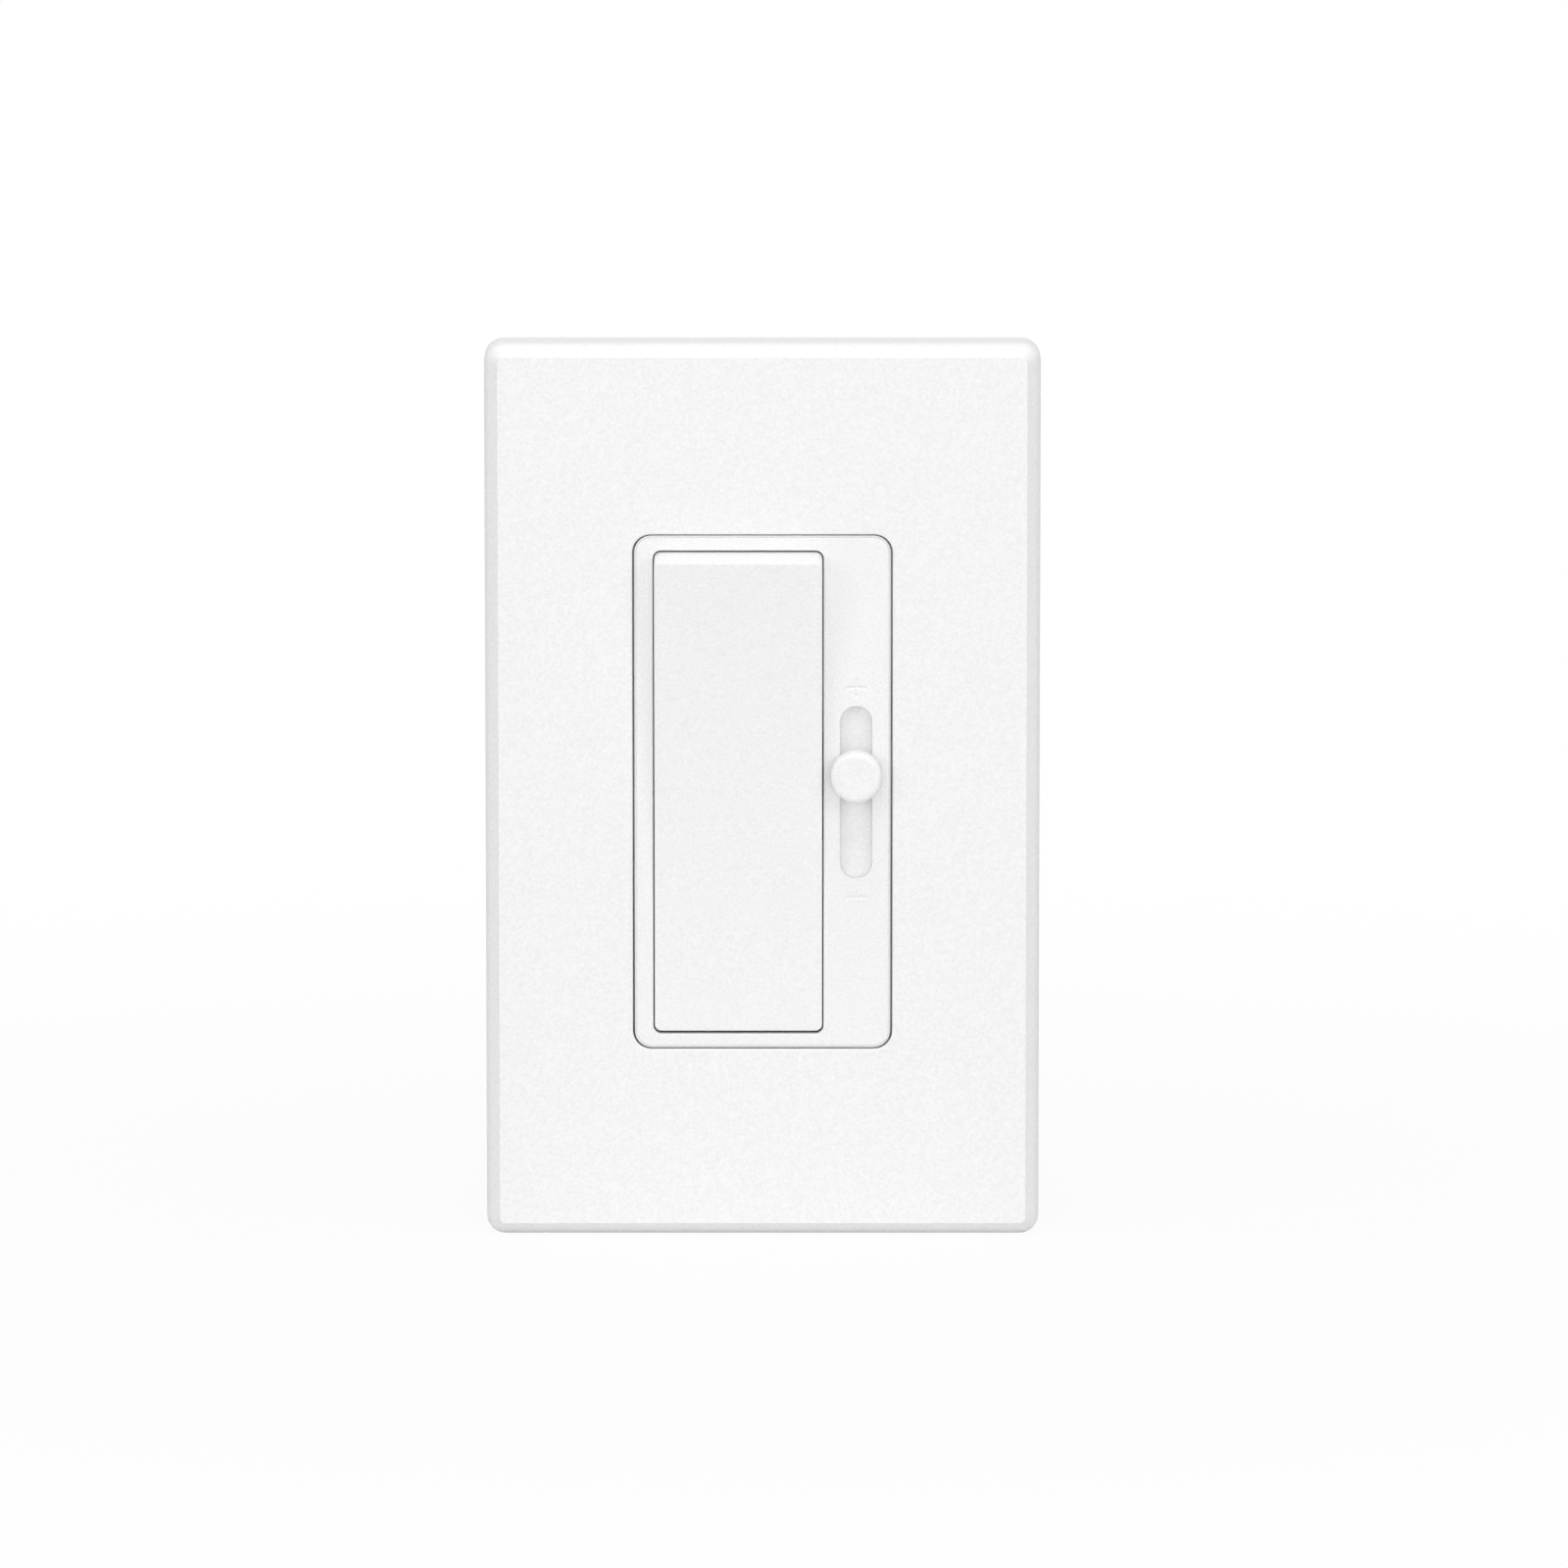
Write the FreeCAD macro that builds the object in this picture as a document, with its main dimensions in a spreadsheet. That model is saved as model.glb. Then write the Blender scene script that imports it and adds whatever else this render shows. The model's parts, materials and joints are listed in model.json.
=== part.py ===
# Paddle dimmer switch with a screwless wallplate, as a parametric document.
# Frame: the wall is the plane y = 0 and the room is on its -Y side. +X is to the right and +Z is up,
# seen from the room. The origin lies midway between the two screws that hold the device to its box.
# In the formulas a height is a distance off the wall towards the room, which is -y.
import FreeCAD
import Part
import math
import os
import re
import Sketcher
from FreeCAD import Placement, Rotation, Vector

# Driving dimensions, in millimetres and degrees
SIZES = {
    # Length by which a cutting shape overshoots
    "overcut": 0.1,
    # Wallplate cover
    "plate_width": 71.1,
    "plate_depth": 7.05,
    "plate_corner": 2.45,
    "plate_bevel": 1.73,
    "bevel_round": 2.2,
    "plate_wall": 1.9,
    "plate_face": 2.0,
    "opening_corner": 2.35,
    "opening_edge": 0.25,
    "collar_wall": 1.2,
    "lug_width": 8.0,
    "lug_thick": 0.9,
    "lug_bite": 0.6,
    "lug_gap": 0.3,
    "lug_spacing": 60.0,
    # Adapter frame that the cover snaps onto
    "adapter_thick": 1.6,
    "adapter_gap": 0.45,
    "adapter_corner": 2.0,
    "adapter_window_gap": 0.35,
    "head_clearance": 0.15,
    "adapter_screw_reach": 8.0,
    "adapter_head_radius": 2.9,
    "adapter_head_stand": 0.3,
    # Screws of the standard box pattern
    "box_spacing": 83.34,
    "screw_step": 6.73,
    "adapter_end": 7.15,
    "screw_radius": 1.75,
    "neck_radius": 1.6,
    "box_screw_reach": 23.8,
    "box_head_radius": 3.2,
    "box_head_height": 2.1,
    "head_edge": 0.7,
    "drive_width": 0.9,
    "drive_depth": 0.9,
    "hole_clearance": 0.05,
    # Aluminium mounting strap
    "strap_thick": 1.6,
    "strap_side_lap": 0.75,
    "strap_end_lap": 1.5,
    "ear_end": 4.9,
    "ear_width": 24.0,
    "ear_corner": 3.0,
    "fin_reach": 6.75,
    "fin_corner": 2.0,
    "score_width": 0.8,
    "score_depth": 1.0,
    "box_slot_length": 8.0,
    "box_slot_radius": 2.3,
    "mechanism_gap": 3.4,
    "mechanism_side_gap": 0.1,
    "tab_width": 9.0,
    "tab_inset": 1.25,
    "tab_reach": 10.0,
    # Front bezel
    "bezel_gap": 0.18,
    "bezel_side_gap": 0.25,
    "bezel_sink": 0.15,
    "bezel_face": 1.3,
    "bezel_edge": 0.25,
    "shoulder_width": 0.2,
    "shoulder_depth": 0.35,
    "rim_edge": 0.15,
    "bezel_side": 2.37,
    "bezel_right": 1.55,
    "bezel_end": 1.45,
    "window_height": 62.74,
    "window_drop": 0.04,
    "window_corner": 1.05,
    "well_relief": 0.4,
    "rib_thick": 1.32,
    "channel_width": 5.7,
    "mark_spacing": 27.24,
    "mark_length": 2.75,
    "mark_width": 0.55,
    "mark_depth": 0.2,
    "mark_tilt": 50.0,
    "hook_inset": 0.75,
    "hook_z": 24.0,
    "hook_thick": 1.2,
    "hook_width": 4.0,
    "hook_reach": 1.3,
    "hook_barb": 0.5,
    "hook_gap": 0.1,
    # Paddle and its pivot
    "paddle_width": 21.5,
    "paddle_gap": 0.18,
    "end_gap": 0.35,
    "pivot_height": 3.0,
    "paddle_reach": 5.9,
    "paddle_dish": 1.0,
    "paddle_skirt": 0.9,
    "paddle_tilt": 3.7,
    "paddle_face": 1.2,
    "paddle_wall": 1.4,
    "paddle_corner": 0.87,
    "paddle_edge": 0.2,
    "ear_thick": 2.5,
    "ear_radius": 2.3,
    "pin_radius": 1.0,
    "pin_fit": 0.04,
    "pin_seat_fit": 0.02,
    "pin_seat": 1.05,
    "tube_radius": 3.6,
    "tube_reach": 7.0,
    # Plunger, its spring and the rocking contact
    "plunger_radius": 2.1,
    "plunger_fit": 0.1,
    "plunger_back": 3.0,
    "plunger_tip": 10.5,
    "nose_gap": 0.05,
    "spring_radius": 1.75,
    "spring_wire": 0.35,
    "rocker_tilt": 7.0,
    "rocker_thick": 0.8,
    "rocker_length": 17.0,
    "rocker_width": 7.2,
    "rocker_lip": 0.6,
    "fulcrum_radius": 0.77,
    "fulcrum_gap": 0.03,
    "contact_z": 6.5,
    "contact_radius": 1.3,
    "contact_thick": 0.6,
    "contact_gap": 0.05,
    "base_side_gap": 0.5,
    "base_end_gap": 1.6,
    "base_wall": 0.9,
    "base_floor": 0.8,
    "base_front": 4.5,
    "strip_thick": 0.6,
    # Slot and slider
    "slot_width": 4.05,
    "slot_length": 22.4,
    "slot_z": -0.02,
    "knob_rest": 2.4,
    "knob_radius": 3.26,
    "knob_thick": 2.7,
    "knob_edge": 0.65,
    "knob_gap": 0.6,
    "stem_radius": 1.8,
    "stem_flat": 0.6,
    "stop_gap": 0.05,
    "shield_thick": 1.2,
    "shield_gap": 0.1,
    "shield_side_gap": 0.15,
    "shield_lap": 1.4,
    "guide_end_gap": 1.25,
    "leg_width": 2.4,
    "leg_length": 4.0,
    "leg_gap": 0.4,
    # Slide potentiometer
    "pot_width": 7.0,
    "pot_length": 36.0,
    "pot_front": 5.0,
    "pot_floor": 1.5,
    "track_thick": 0.4,
    "wiper_length": 6.0,
    "wiper_front": 7.0,
    "brush_gap": 0.05,
    "brush_thick": 0.25,
    "wiper_gap": 0.3,
    # Housing behind the strap
    "housing_width": 43.0,
    "housing_height": 68.0,
    "housing_depth": 31.0,
    "housing_wall": 1.8,
    "housing_back": 2.0,
    "housing_corner": 3.0,
    "housing_edge": 1.2,
    "boss_inset": 2.9,
    "boss_radius": 2.8,
    "housing_screw_radius": 1.25,
    "housing_head_radius": 2.3,
    "housing_head_height": 1.6,
    "counterbore_depth": 1.8,
    "gauge_length": 12.0,
    "gauge_width": 1.8,
    "gauge_depth": 0.5,
    "gauge_z": -27.0,
    "ejector_radius": 2.2,
    "ejector_depth": 0.15,
    "ejector_z": 19.0,
    "block_end": 1.4,
    "block_wall": 1.3,
    "recess_depth": 6.0,
    "recess_height": 9.4,
    "recess_roof": 1.9,
    "recess_floor": 3.5,
    "traveller_z": 11.0,
    "wire_hole_radius": 1.1,
    "wire_hole_spacing": 4.6,
    # Terminals
    "terminal_thick": 1.2,
    "terminal_gap": 0.4,
    "terminal_screw_radius": 1.9,
    "terminal_head_radius": 3.5,
    "terminal_head_height": 2.0,
    "terminal_screw_reach": 4.6,
    "terminal_tip_gap": 0.1,
    "ground_screw_reach": 1.3,
    # Circuit board and what it carries
    "board_front": 12.0,
    "board_thick": 1.6,
    "board_gap": 0.2,
    "board_notch": 4.3,
    "triac_gap": 1.0,
    "triac_width": 10.0,
    "triac_height": 16.0,
    "triac_thick": 4.4,
    "triac_tab": 1.3,
    "insulator_thick": 0.25,
    "insulator_lap": 1.0,
    "rivet_radius": 1.5,
    "rivet_head_radius": 2.6,
    "rivet_head_height": 0.8,
    "rivet_edge": 3.0,
    "choke_x": -6.0,
    "choke_z": -21.0,
    "choke_radius": 6.5,
    "choke_bore": 3.5,
    "choke_depth": 7.0,
    "winding_thick": 1.2,
    "filter_x": -7.0,
    "filter_z": 20.0,
    "filter_width": 18.0,
    "filter_height": 7.0,
    "filter_depth": 12.0,
    "timing_x": 4.0,
    "timing_z": 0.0,
    "timing_width": 7.5,
    "timing_height": 3.0,
    "timing_depth": 8.0,
    "lead_radius": 0.3,
    "resistor_radius": 1.2,
    "resistor_length": 6.5,
    "resistor_lift": 1.8,
    "resistor_x": -4.0,
    "resistor_z": 8.0,
    "resistor_pitch": 4.0,
    "diac_radius": 0.95,
    "diac_length": 4.0,
    "diac_z": -8.0,
}

# Places and sizes that follow from the driving dimensions
PLACES = {
    "adapter_spacing": "box_spacing + 2 * screw_step",
    "adapter_height": "adapter_spacing + 2 * adapter_end",
    "plate_height": "adapter_height + 2 * adapter_gap + 2 * plate_wall",
    "opening_width": "bezel_width + 2 * bezel_side_gap",
    "opening_height": "bezel_height + 2 * bezel_gap",
    "cover_inner_width": "plate_width - 2 * plate_wall",
    "cover_inner_height": "plate_height - 2 * plate_wall",
    "strap_width": "housing_width + 2 * strap_side_lap",
    "strap_plate_height": "housing_height + 2 * strap_end_lap",
    "strap_height": "adapter_spacing + 2 * ear_end",
    "fin_height": "housing_height",
    "mechanism_height": "2 * (tube_radius + mechanism_gap)",
    "tab_x": "tab_inset + tab_width / 2 - strap_width / 2",
    "adapter_width": "cover_inner_width - 2 * adapter_gap",
    "adapter_front": "strap_thick + adapter_thick",
    "lug_front": "strap_thick - lug_gap",
    "bezel_width": "bezel_side + window_width + rib_thick + channel_width + bezel_right",
    "bezel_height": "well_height + 2 * bezel_end",
    "bezel_corner": "opening_corner - bezel_gap",
    "bezel_front": "plate_depth - bezel_sink",
    "bezel_back_of_face": "bezel_front - bezel_face",
    "window_width": "paddle_width + 2 * paddle_gap",
    "well_height": "window_height + 2 * well_relief",
    "paddle_x": "-bezel_width / 2 + bezel_side + window_width / 2",
    "paddle_sweep": "sqrt((window_height / 2 - end_gap)^2 + (bezel_front - pivot_height)^2)",
    "paddle_ceiling": "paddle_reach - paddle_dish - paddle_face",
    "dish_radius": "(paddle_sweep^2 - paddle_reach^2 + paddle_dish^2) / (2 * paddle_dish)",
    "rib_x": "paddle_x + window_width / 2 + rib_thick / 2",
    "slider_x": "paddle_x + window_width / 2 + rib_thick + channel_width / 2",
    "hook_x": "bezel_width / 2 - hook_inset",
    "stem_half": "stem_radius + stem_flat / 2",
    "slider_travel": "slot_length / 2 - stem_half - stop_gap",
    "knob_z": "slot_z + knob_rest",
    "knob_back": "bezel_front + knob_gap",
    "shield_front": "bezel_back_of_face - shield_gap",
    "shield_back": "shield_front - shield_thick",
    "shield_width": "channel_width - 2 * shield_side_gap",
    "shield_length": "slot_length + 2 * slider_travel + 2 * shield_lap",
    "guide_height": "well_height - 2 * guide_end_gap",
    "passage_width": "leg_width + 2 * leg_gap",
    "passage_length": "2 * slider_travel + leg_length + 2 * leg_gap",
    "rocker_axis": "pivot_height - plunger_tip - nose_gap - rocker_thick - fulcrum_radius - fulcrum_gap",
    "rocker_back": "fulcrum_radius + fulcrum_gap",
    "contact_back": "rocker_back - contact_thick",
    "board_back": "board_front + board_thick",
    "board_width": "housing_width - 2 * housing_wall - 2 * board_gap",
    "board_height": "housing_height - 2 * housing_wall - 2 * board_gap",
    "base_width": "rocker_width + 2 * base_side_gap + 2 * base_wall",
    "base_height": "rocker_length + 2 * base_end_gap + 2 * base_wall",
    "floor_front": "board_front - base_floor",
    "triac_z": "base_height / 2 + triac_gap + triac_height / 2",
    "rivet_z": "triac_z + triac_height / 2 - rivet_edge",
    "pot_channel_floor": "board_front - pot_floor",
    "boss_x": "housing_width / 2 - boss_inset",
    "boss_z": "housing_height / 2 - boss_inset",
    "inner_width": "housing_width - 2 * housing_wall",
    "inner_height": "housing_height - 2 * housing_wall",
    "inner_depth": "housing_depth - housing_back",
    "recess_x": "housing_width / 2 - recess_depth",
    "recess_front": "board_back + recess_roof",
    "recess_back": "housing_depth - recess_floor",
    "recess_middle": "(recess_front + recess_back) / 2",
    "block_reach": "recess_depth + terminal_screw_reach + block_end",
    "block_height": "recess_height + 2 * block_wall",
    "tab_z": "-strap_plate_height / 2 - strap_thick / 2",
    "tab_middle": "tab_reach / 2 + 0.5",
}

doc = FreeCAD.newDocument("PaddleDimmer")
C = Sketcher.Constraint
ORIGIN = (-1, 1)


# Sizes in the sheet and formulas that read them
def write_sheet():
    """Give every driving dimension a named cell."""
    sheet = doc.addObject("Spreadsheet::Sheet", "Sizes")
    for row, (alias, value) in enumerate(SIZES.items(), start=1):
        sheet.set(f"A{row}", alias.replace("_", " "))
        sheet.set(f"B{row}", str(value))
        sheet.setAlias(f"B{row}", alias)
    doc.recompute()
    return sheet


def in_sheet(formula):
    """Spell out a formula's places and point its sizes at the sheet."""
    def spell(word):
        name = word.group()
        if name in SIZES:
            return "Sizes." + name
        if name in PLACES:
            return "(" + in_sheet(PLACES[name]) + ")"
        return name
    return re.sub(r"[a-z]\w*", spell, str(formula))


def bind(item, prop, formula):
    """Tie a property of an object to a formula in the sheet's sizes."""
    item.setExpression(prop, in_sheet(formula))


def bind_base(item, x=0, height=0, z=0):
    """Tie an object's position to formulas; a height counts from the wall to the room."""
    for axis, formula in (("x", x), ("y", f"-({height})"), ("z", z)):
        bind(item, ".Placement.Base." + axis, formula)


# Bodies, sketches and features
def new_body(label):
    return doc.addObject("PartDesign::Body", label)


def new_sketch(body, name, level=0, x=0, y=0, role="XZ_Plane"):
    """Attach a sketch to one of a body's own planes, moved along that plane's normal.

    On XZ_Plane the sketch's x and y are the object's X and Z and the level is a height.
    On YZ_Plane they are Y and Z and the level is an x.
    """
    sketch = body.newObject("Sketcher::SketchObject", f"{body.Name}_{name}")
    plane = [item for item in body.Origin.OriginFeatures if item.Role == role][0]
    sketch.AttachmentSupport = [(plane, "")]
    sketch.MapMode = "FlatFace"
    bind(sketch, ".AttachmentOffset.Base.x", x)
    bind(sketch, ".AttachmentOffset.Base.y", y)
    bind(sketch, ".AttachmentOffset.Base.z", level)
    return sketch


def drive(sketch, constraint, formula):
    """Add a dimension to a sketch and tie it to a formula."""
    index = sketch.addConstraint(constraint)
    sketch.renameConstraint(index, f"size{index}")
    bind(sketch, f"Constraints.size{index}", formula)


def centre_point(sketch, x, y):
    """Put a construction point in a sketch to centre a shape on."""
    point = sketch.addGeometry(Part.Point(Vector(0, 0, 0)), True)
    drive(sketch, C("DistanceX", -1, 1, point, 1, 0.0), x)
    drive(sketch, C("DistanceY", -1, 1, point, 1, 0.0), y)
    return (point, 1)


def rectangle(sketch, width, height, centre=ORIGIN):
    """Draw an upright rectangle about a centre."""
    first = sketch.GeometryCount
    corners = [Vector(-1, -1, 0), Vector(1, -1, 0), Vector(1, 1, 0), Vector(-1, 1, 0)]
    for side in range(4):
        sketch.addGeometry(Part.LineSegment(corners[side], corners[(side + 1) % 4]), False)
    for side in range(4):
        sketch.addConstraint(C("Coincident", first + side, 2, first + (side + 1) % 4, 1))
        sketch.addConstraint(C("Vertical" if side % 2 else "Horizontal", first + side))
    sketch.addConstraint(C("Symmetric", first, 1, first + 2, 1, *centre))
    drive(sketch, C("DistanceX", first, 1, first, 2, 2.0), width)
    drive(sketch, C("DistanceY", first + 1, 1, first + 1, 2, 2.0), height)


def rounded_rectangle(sketch, width, height, radius, centre=ORIGIN):
    """Draw an upright rectangle with round corners about a centre."""
    first = sketch.GeometryCount
    sides = [((-1, -2), (1, -2)), ((2, -1), (2, 1)), ((1, 2), (-1, 2)), ((-2, 1), (-2, -1))]
    for start, end in sides:
        sketch.addGeometry(Part.LineSegment(Vector(*start, 0), Vector(*end, 0)), False)
    for corner, (x, y) in enumerate(((1, -1), (1, 1), (-1, 1), (-1, -1))):
        turn = math.radians(90 * (corner - 1))
        circle_ = Part.Circle(Vector(x, y, 0), Vector(0, 0, 1), 1)
        sketch.addGeometry(Part.ArcOfCircle(circle_, turn, turn + math.pi / 2), False)
    for side in range(4):
        arc = first + 4 + side
        sketch.addConstraint(C("Tangent", first + side, 2, arc, 1))
        sketch.addConstraint(C("Tangent", arc, 2, first + (side + 1) % 4, 1))
        sketch.addConstraint(C("Vertical" if side % 2 else "Horizontal", first + side))
    for arc in (5, 6, 7):
        sketch.addConstraint(C("Equal", first + 4, first + arc))
    sketch.addConstraint(C("Symmetric", first + 4, 3, first + 6, 3, *centre))
    drive(sketch, C("DistanceX", first + 3, 1, first + 1, 1, 4.0), width)
    drive(sketch, C("DistanceY", first, 1, first + 2, 1, 4.0), height)
    drive(sketch, C("Radius", first + 4, 1.0), radius)


def circle(sketch, radius, centre=ORIGIN):
    """Draw a circle about a centre."""
    index = sketch.addGeometry(Part.Circle(Vector(0, 0, 0), Vector(0, 0, 1), 1), False)
    sketch.addConstraint(C("Coincident", index, 3, *centre))
    drive(sketch, C("Radius", index, 1.0), radius)


def round_slot(sketch, length, radius, upright=True, centre=ORIGIN):
    """Draw a slot with round ends about a centre; the length is from end to end."""
    first = sketch.GeometryCount
    along = Vector(0, 2, 0) if upright else Vector(-2, 0, 0)
    side = Vector(1, 0, 0) if upright else Vector(0, 1, 0)
    turn = 0 if upright else math.pi / 2
    sketch.addGeometry(Part.LineSegment(side - along, side + along), False)
    sketch.addGeometry(Part.LineSegment(-side + along, -side - along), False)
    for end, start in ((along, turn), (-along, turn + math.pi)):
        arc = Part.ArcOfCircle(Part.Circle(end, Vector(0, 0, 1), 1), start, start + math.pi)
        sketch.addGeometry(arc, False)
    sketch.addConstraint(C("Tangent", first, 2, first + 2, 1))
    sketch.addConstraint(C("Tangent", first + 2, 2, first + 1, 1))
    sketch.addConstraint(C("Tangent", first + 1, 2, first + 3, 1))
    sketch.addConstraint(C("Tangent", first + 3, 2, first, 1))
    sketch.addConstraint(C("Vertical" if upright else "Horizontal", first))
    sketch.addConstraint(C("Equal", first + 2, first + 3))
    sketch.addConstraint(C("Symmetric", first + 2, 3, first + 3, 3, *centre))
    drive(sketch, C("Radius", first + 2, 1.0), radius)
    if upright:
        drive(sketch, C("DistanceY", first + 3, 3, first + 2, 3, 4.0), f"{length} - 2 * ({radius})")
    else:
        drive(sketch, C("DistanceX", first + 2, 3, first + 3, 3, 4.0), f"{length} - 2 * ({radius})")


def pad(body, sketch, length, both_ways=False):
    """Raise a sketch along its plane's normal, or half the length each way."""
    feature = body.newObject("PartDesign::Pad", f"{sketch.Name}_pad")
    feature.Profile = sketch
    feature.Midplane = both_ways
    bind(feature, "Length", length)
    sketch.Visibility = False
    return feature


def pocket(body, sketch, depth):
    """Cut a sketch back from its plane, against the normal, and check that it cut."""
    doc.recompute()
    before = body.Shape.Volume
    feature = body.newObject("PartDesign::Pocket", f"{sketch.Name}_pocket")
    feature.Profile = sketch
    bind(feature, "Length", depth)
    sketch.Visibility = False
    doc.recompute()
    if body.Shape.Volume >= before:
        raise RuntimeError(feature.Name + " cut nothing")
    return feature


def extent(edge, axis):
    """Give the least and greatest coordinate of an edge along an axis."""
    values = [getattr(point, axis) for point in edge.discretize(5)]
    return min(values), max(values)


def lies_at(edge, axis, place):
    """Tell whether an edge lies in the plane square to an axis at a place."""
    low, high = extent(edge, axis)
    return abs(low - place) < 1e-4 and abs(high - place) < 1e-4


def foremost(body):
    """Give the y of a body's foremost corner."""
    return min(vertex.Y for vertex in body.Shape.Vertexes)


def at_front(body):
    """Make the test for edges in a body's foremost plane."""
    front = foremost(body)
    return lambda edge: lies_at(edge, "y", front)


def round_openings(body):
    """Make the test for the edges round the openings in a body's foremost face."""
    shape = body.Tip.Shape
    front = foremost(body)
    face = [face for face in shape.Faces if face.BoundBox.YMax < front + 1e-4][0]
    rims = [edge for wire in face.Wires if not wire.isSame(face.OuterWire) for edge in wire.Edges]
    return lambda edge: any(edge.isSame(rim) for rim in rims)


def dress(body, kind, name, amount, chosen):
    """Fillet or chamfer the edges of a body that a test picks."""
    doc.recompute()
    base = body.Tip
    picked = [f"Edge{i}" for i, edge in enumerate(base.Shape.Edges, start=1) if chosen(edge)]
    if not picked:
        raise RuntimeError(name + " found no edge")
    feature = body.newObject("PartDesign::" + kind, f"{body.Name}_{name}")
    feature.Base = (base, picked)
    bind(feature, "Radius" if kind == "Fillet" else "Size", amount)
    doc.recompute()
    return feature


# Primitives along the object's axes
def block(name, x, z, width, height, back, front):
    """Make a box centred on x and z that runs from one height to another."""
    item = doc.addObject("Part::Box", name)
    bind(item, "Length", width)
    bind(item, "Width", f"({front}) - ({back})")
    bind(item, "Height", height)
    bind_base(item, f"({x}) - ({width}) / 2", front, f"({z}) - ({height}) / 2")
    return item


def rod(name, radius, x, z, back, front):
    """Make a cylinder square to the wall."""
    item = doc.addObject("Part::Cylinder", name)
    item.Placement = Placement(Vector(0, 0, 0), Rotation(Vector(1, 0, 0), 90))
    bind(item, "Radius", radius)
    bind(item, "Height", f"({front}) - ({back})")
    bind_base(item, x, back, z)
    return item


def cone(name, back_radius, front_radius, x, z, back, front):
    """Make a cone or cone frustum square to the wall."""
    item = doc.addObject("Part::Cone", name)
    item.Placement = Placement(Vector(0, 0, 0), Rotation(Vector(1, 0, 0), 90))
    bind(item, "Radius1", back_radius)
    bind(item, "Radius2", front_radius)
    bind(item, "Height", f"({front}) - ({back})")
    bind_base(item, x, back, z)
    return item


def cross_rod(name, radius, height, z, left, right):
    """Make a cylinder along X."""
    item = doc.addObject("Part::Cylinder", name)
    item.Placement = Placement(Vector(0, 0, 0), Rotation(Vector(0, 1, 0), 90))
    bind(item, "Radius", radius)
    bind(item, "Height", f"({right}) - ({left})")
    bind_base(item, left, height, z)
    return item


def upright_rod(name, radius, x, height, low, high):
    """Make a cylinder along Z."""
    item = doc.addObject("Part::Cylinder", name)
    bind(item, "Radius", radius)
    bind(item, "Height", f"({high}) - ({low})")
    bind_base(item, x, height, low)
    return item


def fuse(name, shapes):
    item = doc.addObject("Part::MultiFuse", name)
    item.Shapes = shapes
    return item


def cut(name, base, tools):
    item = doc.addObject("Part::Cut", name)
    item.Base = base
    item.Tool = tools[0] if len(tools) == 1 else fuse(name + "_tools", tools)
    return item


def group(name, shapes):
    """Keep like pieces together as separate solids of one node."""
    item = doc.addObject("Part::Compound", name)
    item.Links = shapes
    return item


# Wallplate
def make_cover():
    """A shell with a bevelled rim, a collar round the opening and snap lugs on its inner walls."""
    body = new_body("wallplate_cover")
    outline = new_sketch(body, "outline")
    rounded_rectangle(outline, "plate_width", "plate_height", "plate_corner")
    pad(body, outline, "plate_depth")
    doc.recompute()
    dress(body, "Chamfer", "bevel", "plate_bevel", at_front(body))
    bevel_foot = foremost(body) + sizes.plate_bevel
    dress(body, "Fillet", "bevel_round", "bevel_round", lambda edge: lies_at(edge, "y", bevel_foot))
    inside = new_sketch(body, "inside", "plate_depth - plate_face")
    rectangle(inside, "cover_inner_width", "cover_inner_height")
    pocket(body, inside, "plate_depth - plate_face")
    collar = new_sketch(body, "collar", "adapter_front")
    rounded_rectangle(collar, "opening_width + 2 * collar_wall", "opening_height + 2 * collar_wall",
                      "opening_corner + collar_wall")
    pad(body, collar, "plate_depth - plate_face / 2 - adapter_front")
    opening = new_sketch(body, "opening", "plate_depth")
    rounded_rectangle(opening, "opening_width", "opening_height", "opening_corner")
    pocket(body, opening, "plate_depth")
    dress(body, "Fillet", "opening_edge", "opening_edge", round_openings(body))
    lugs = new_sketch(body, "lugs", "lug_front - lug_thick")
    reach = "lug_bite + adapter_gap + plate_wall / 2"
    side_x = f"cover_inner_width / 2 + plate_wall / 2 - ({reach}) / 2"
    end_z = f"cover_inner_height / 2 + plate_wall / 2 - ({reach}) / 2"
    for x in (f"-({side_x})", side_x):
        for z in ("-lug_spacing / 2", "lug_spacing / 2"):
            rectangle(lugs, reach, "lug_width", centre_point(lugs, x, z))
    for z in (f"-({end_z})", end_z):
        rectangle(lugs, "lug_width", reach, centre_point(lugs, 0, z))
    pad(body, lugs, "lug_thick")


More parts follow.
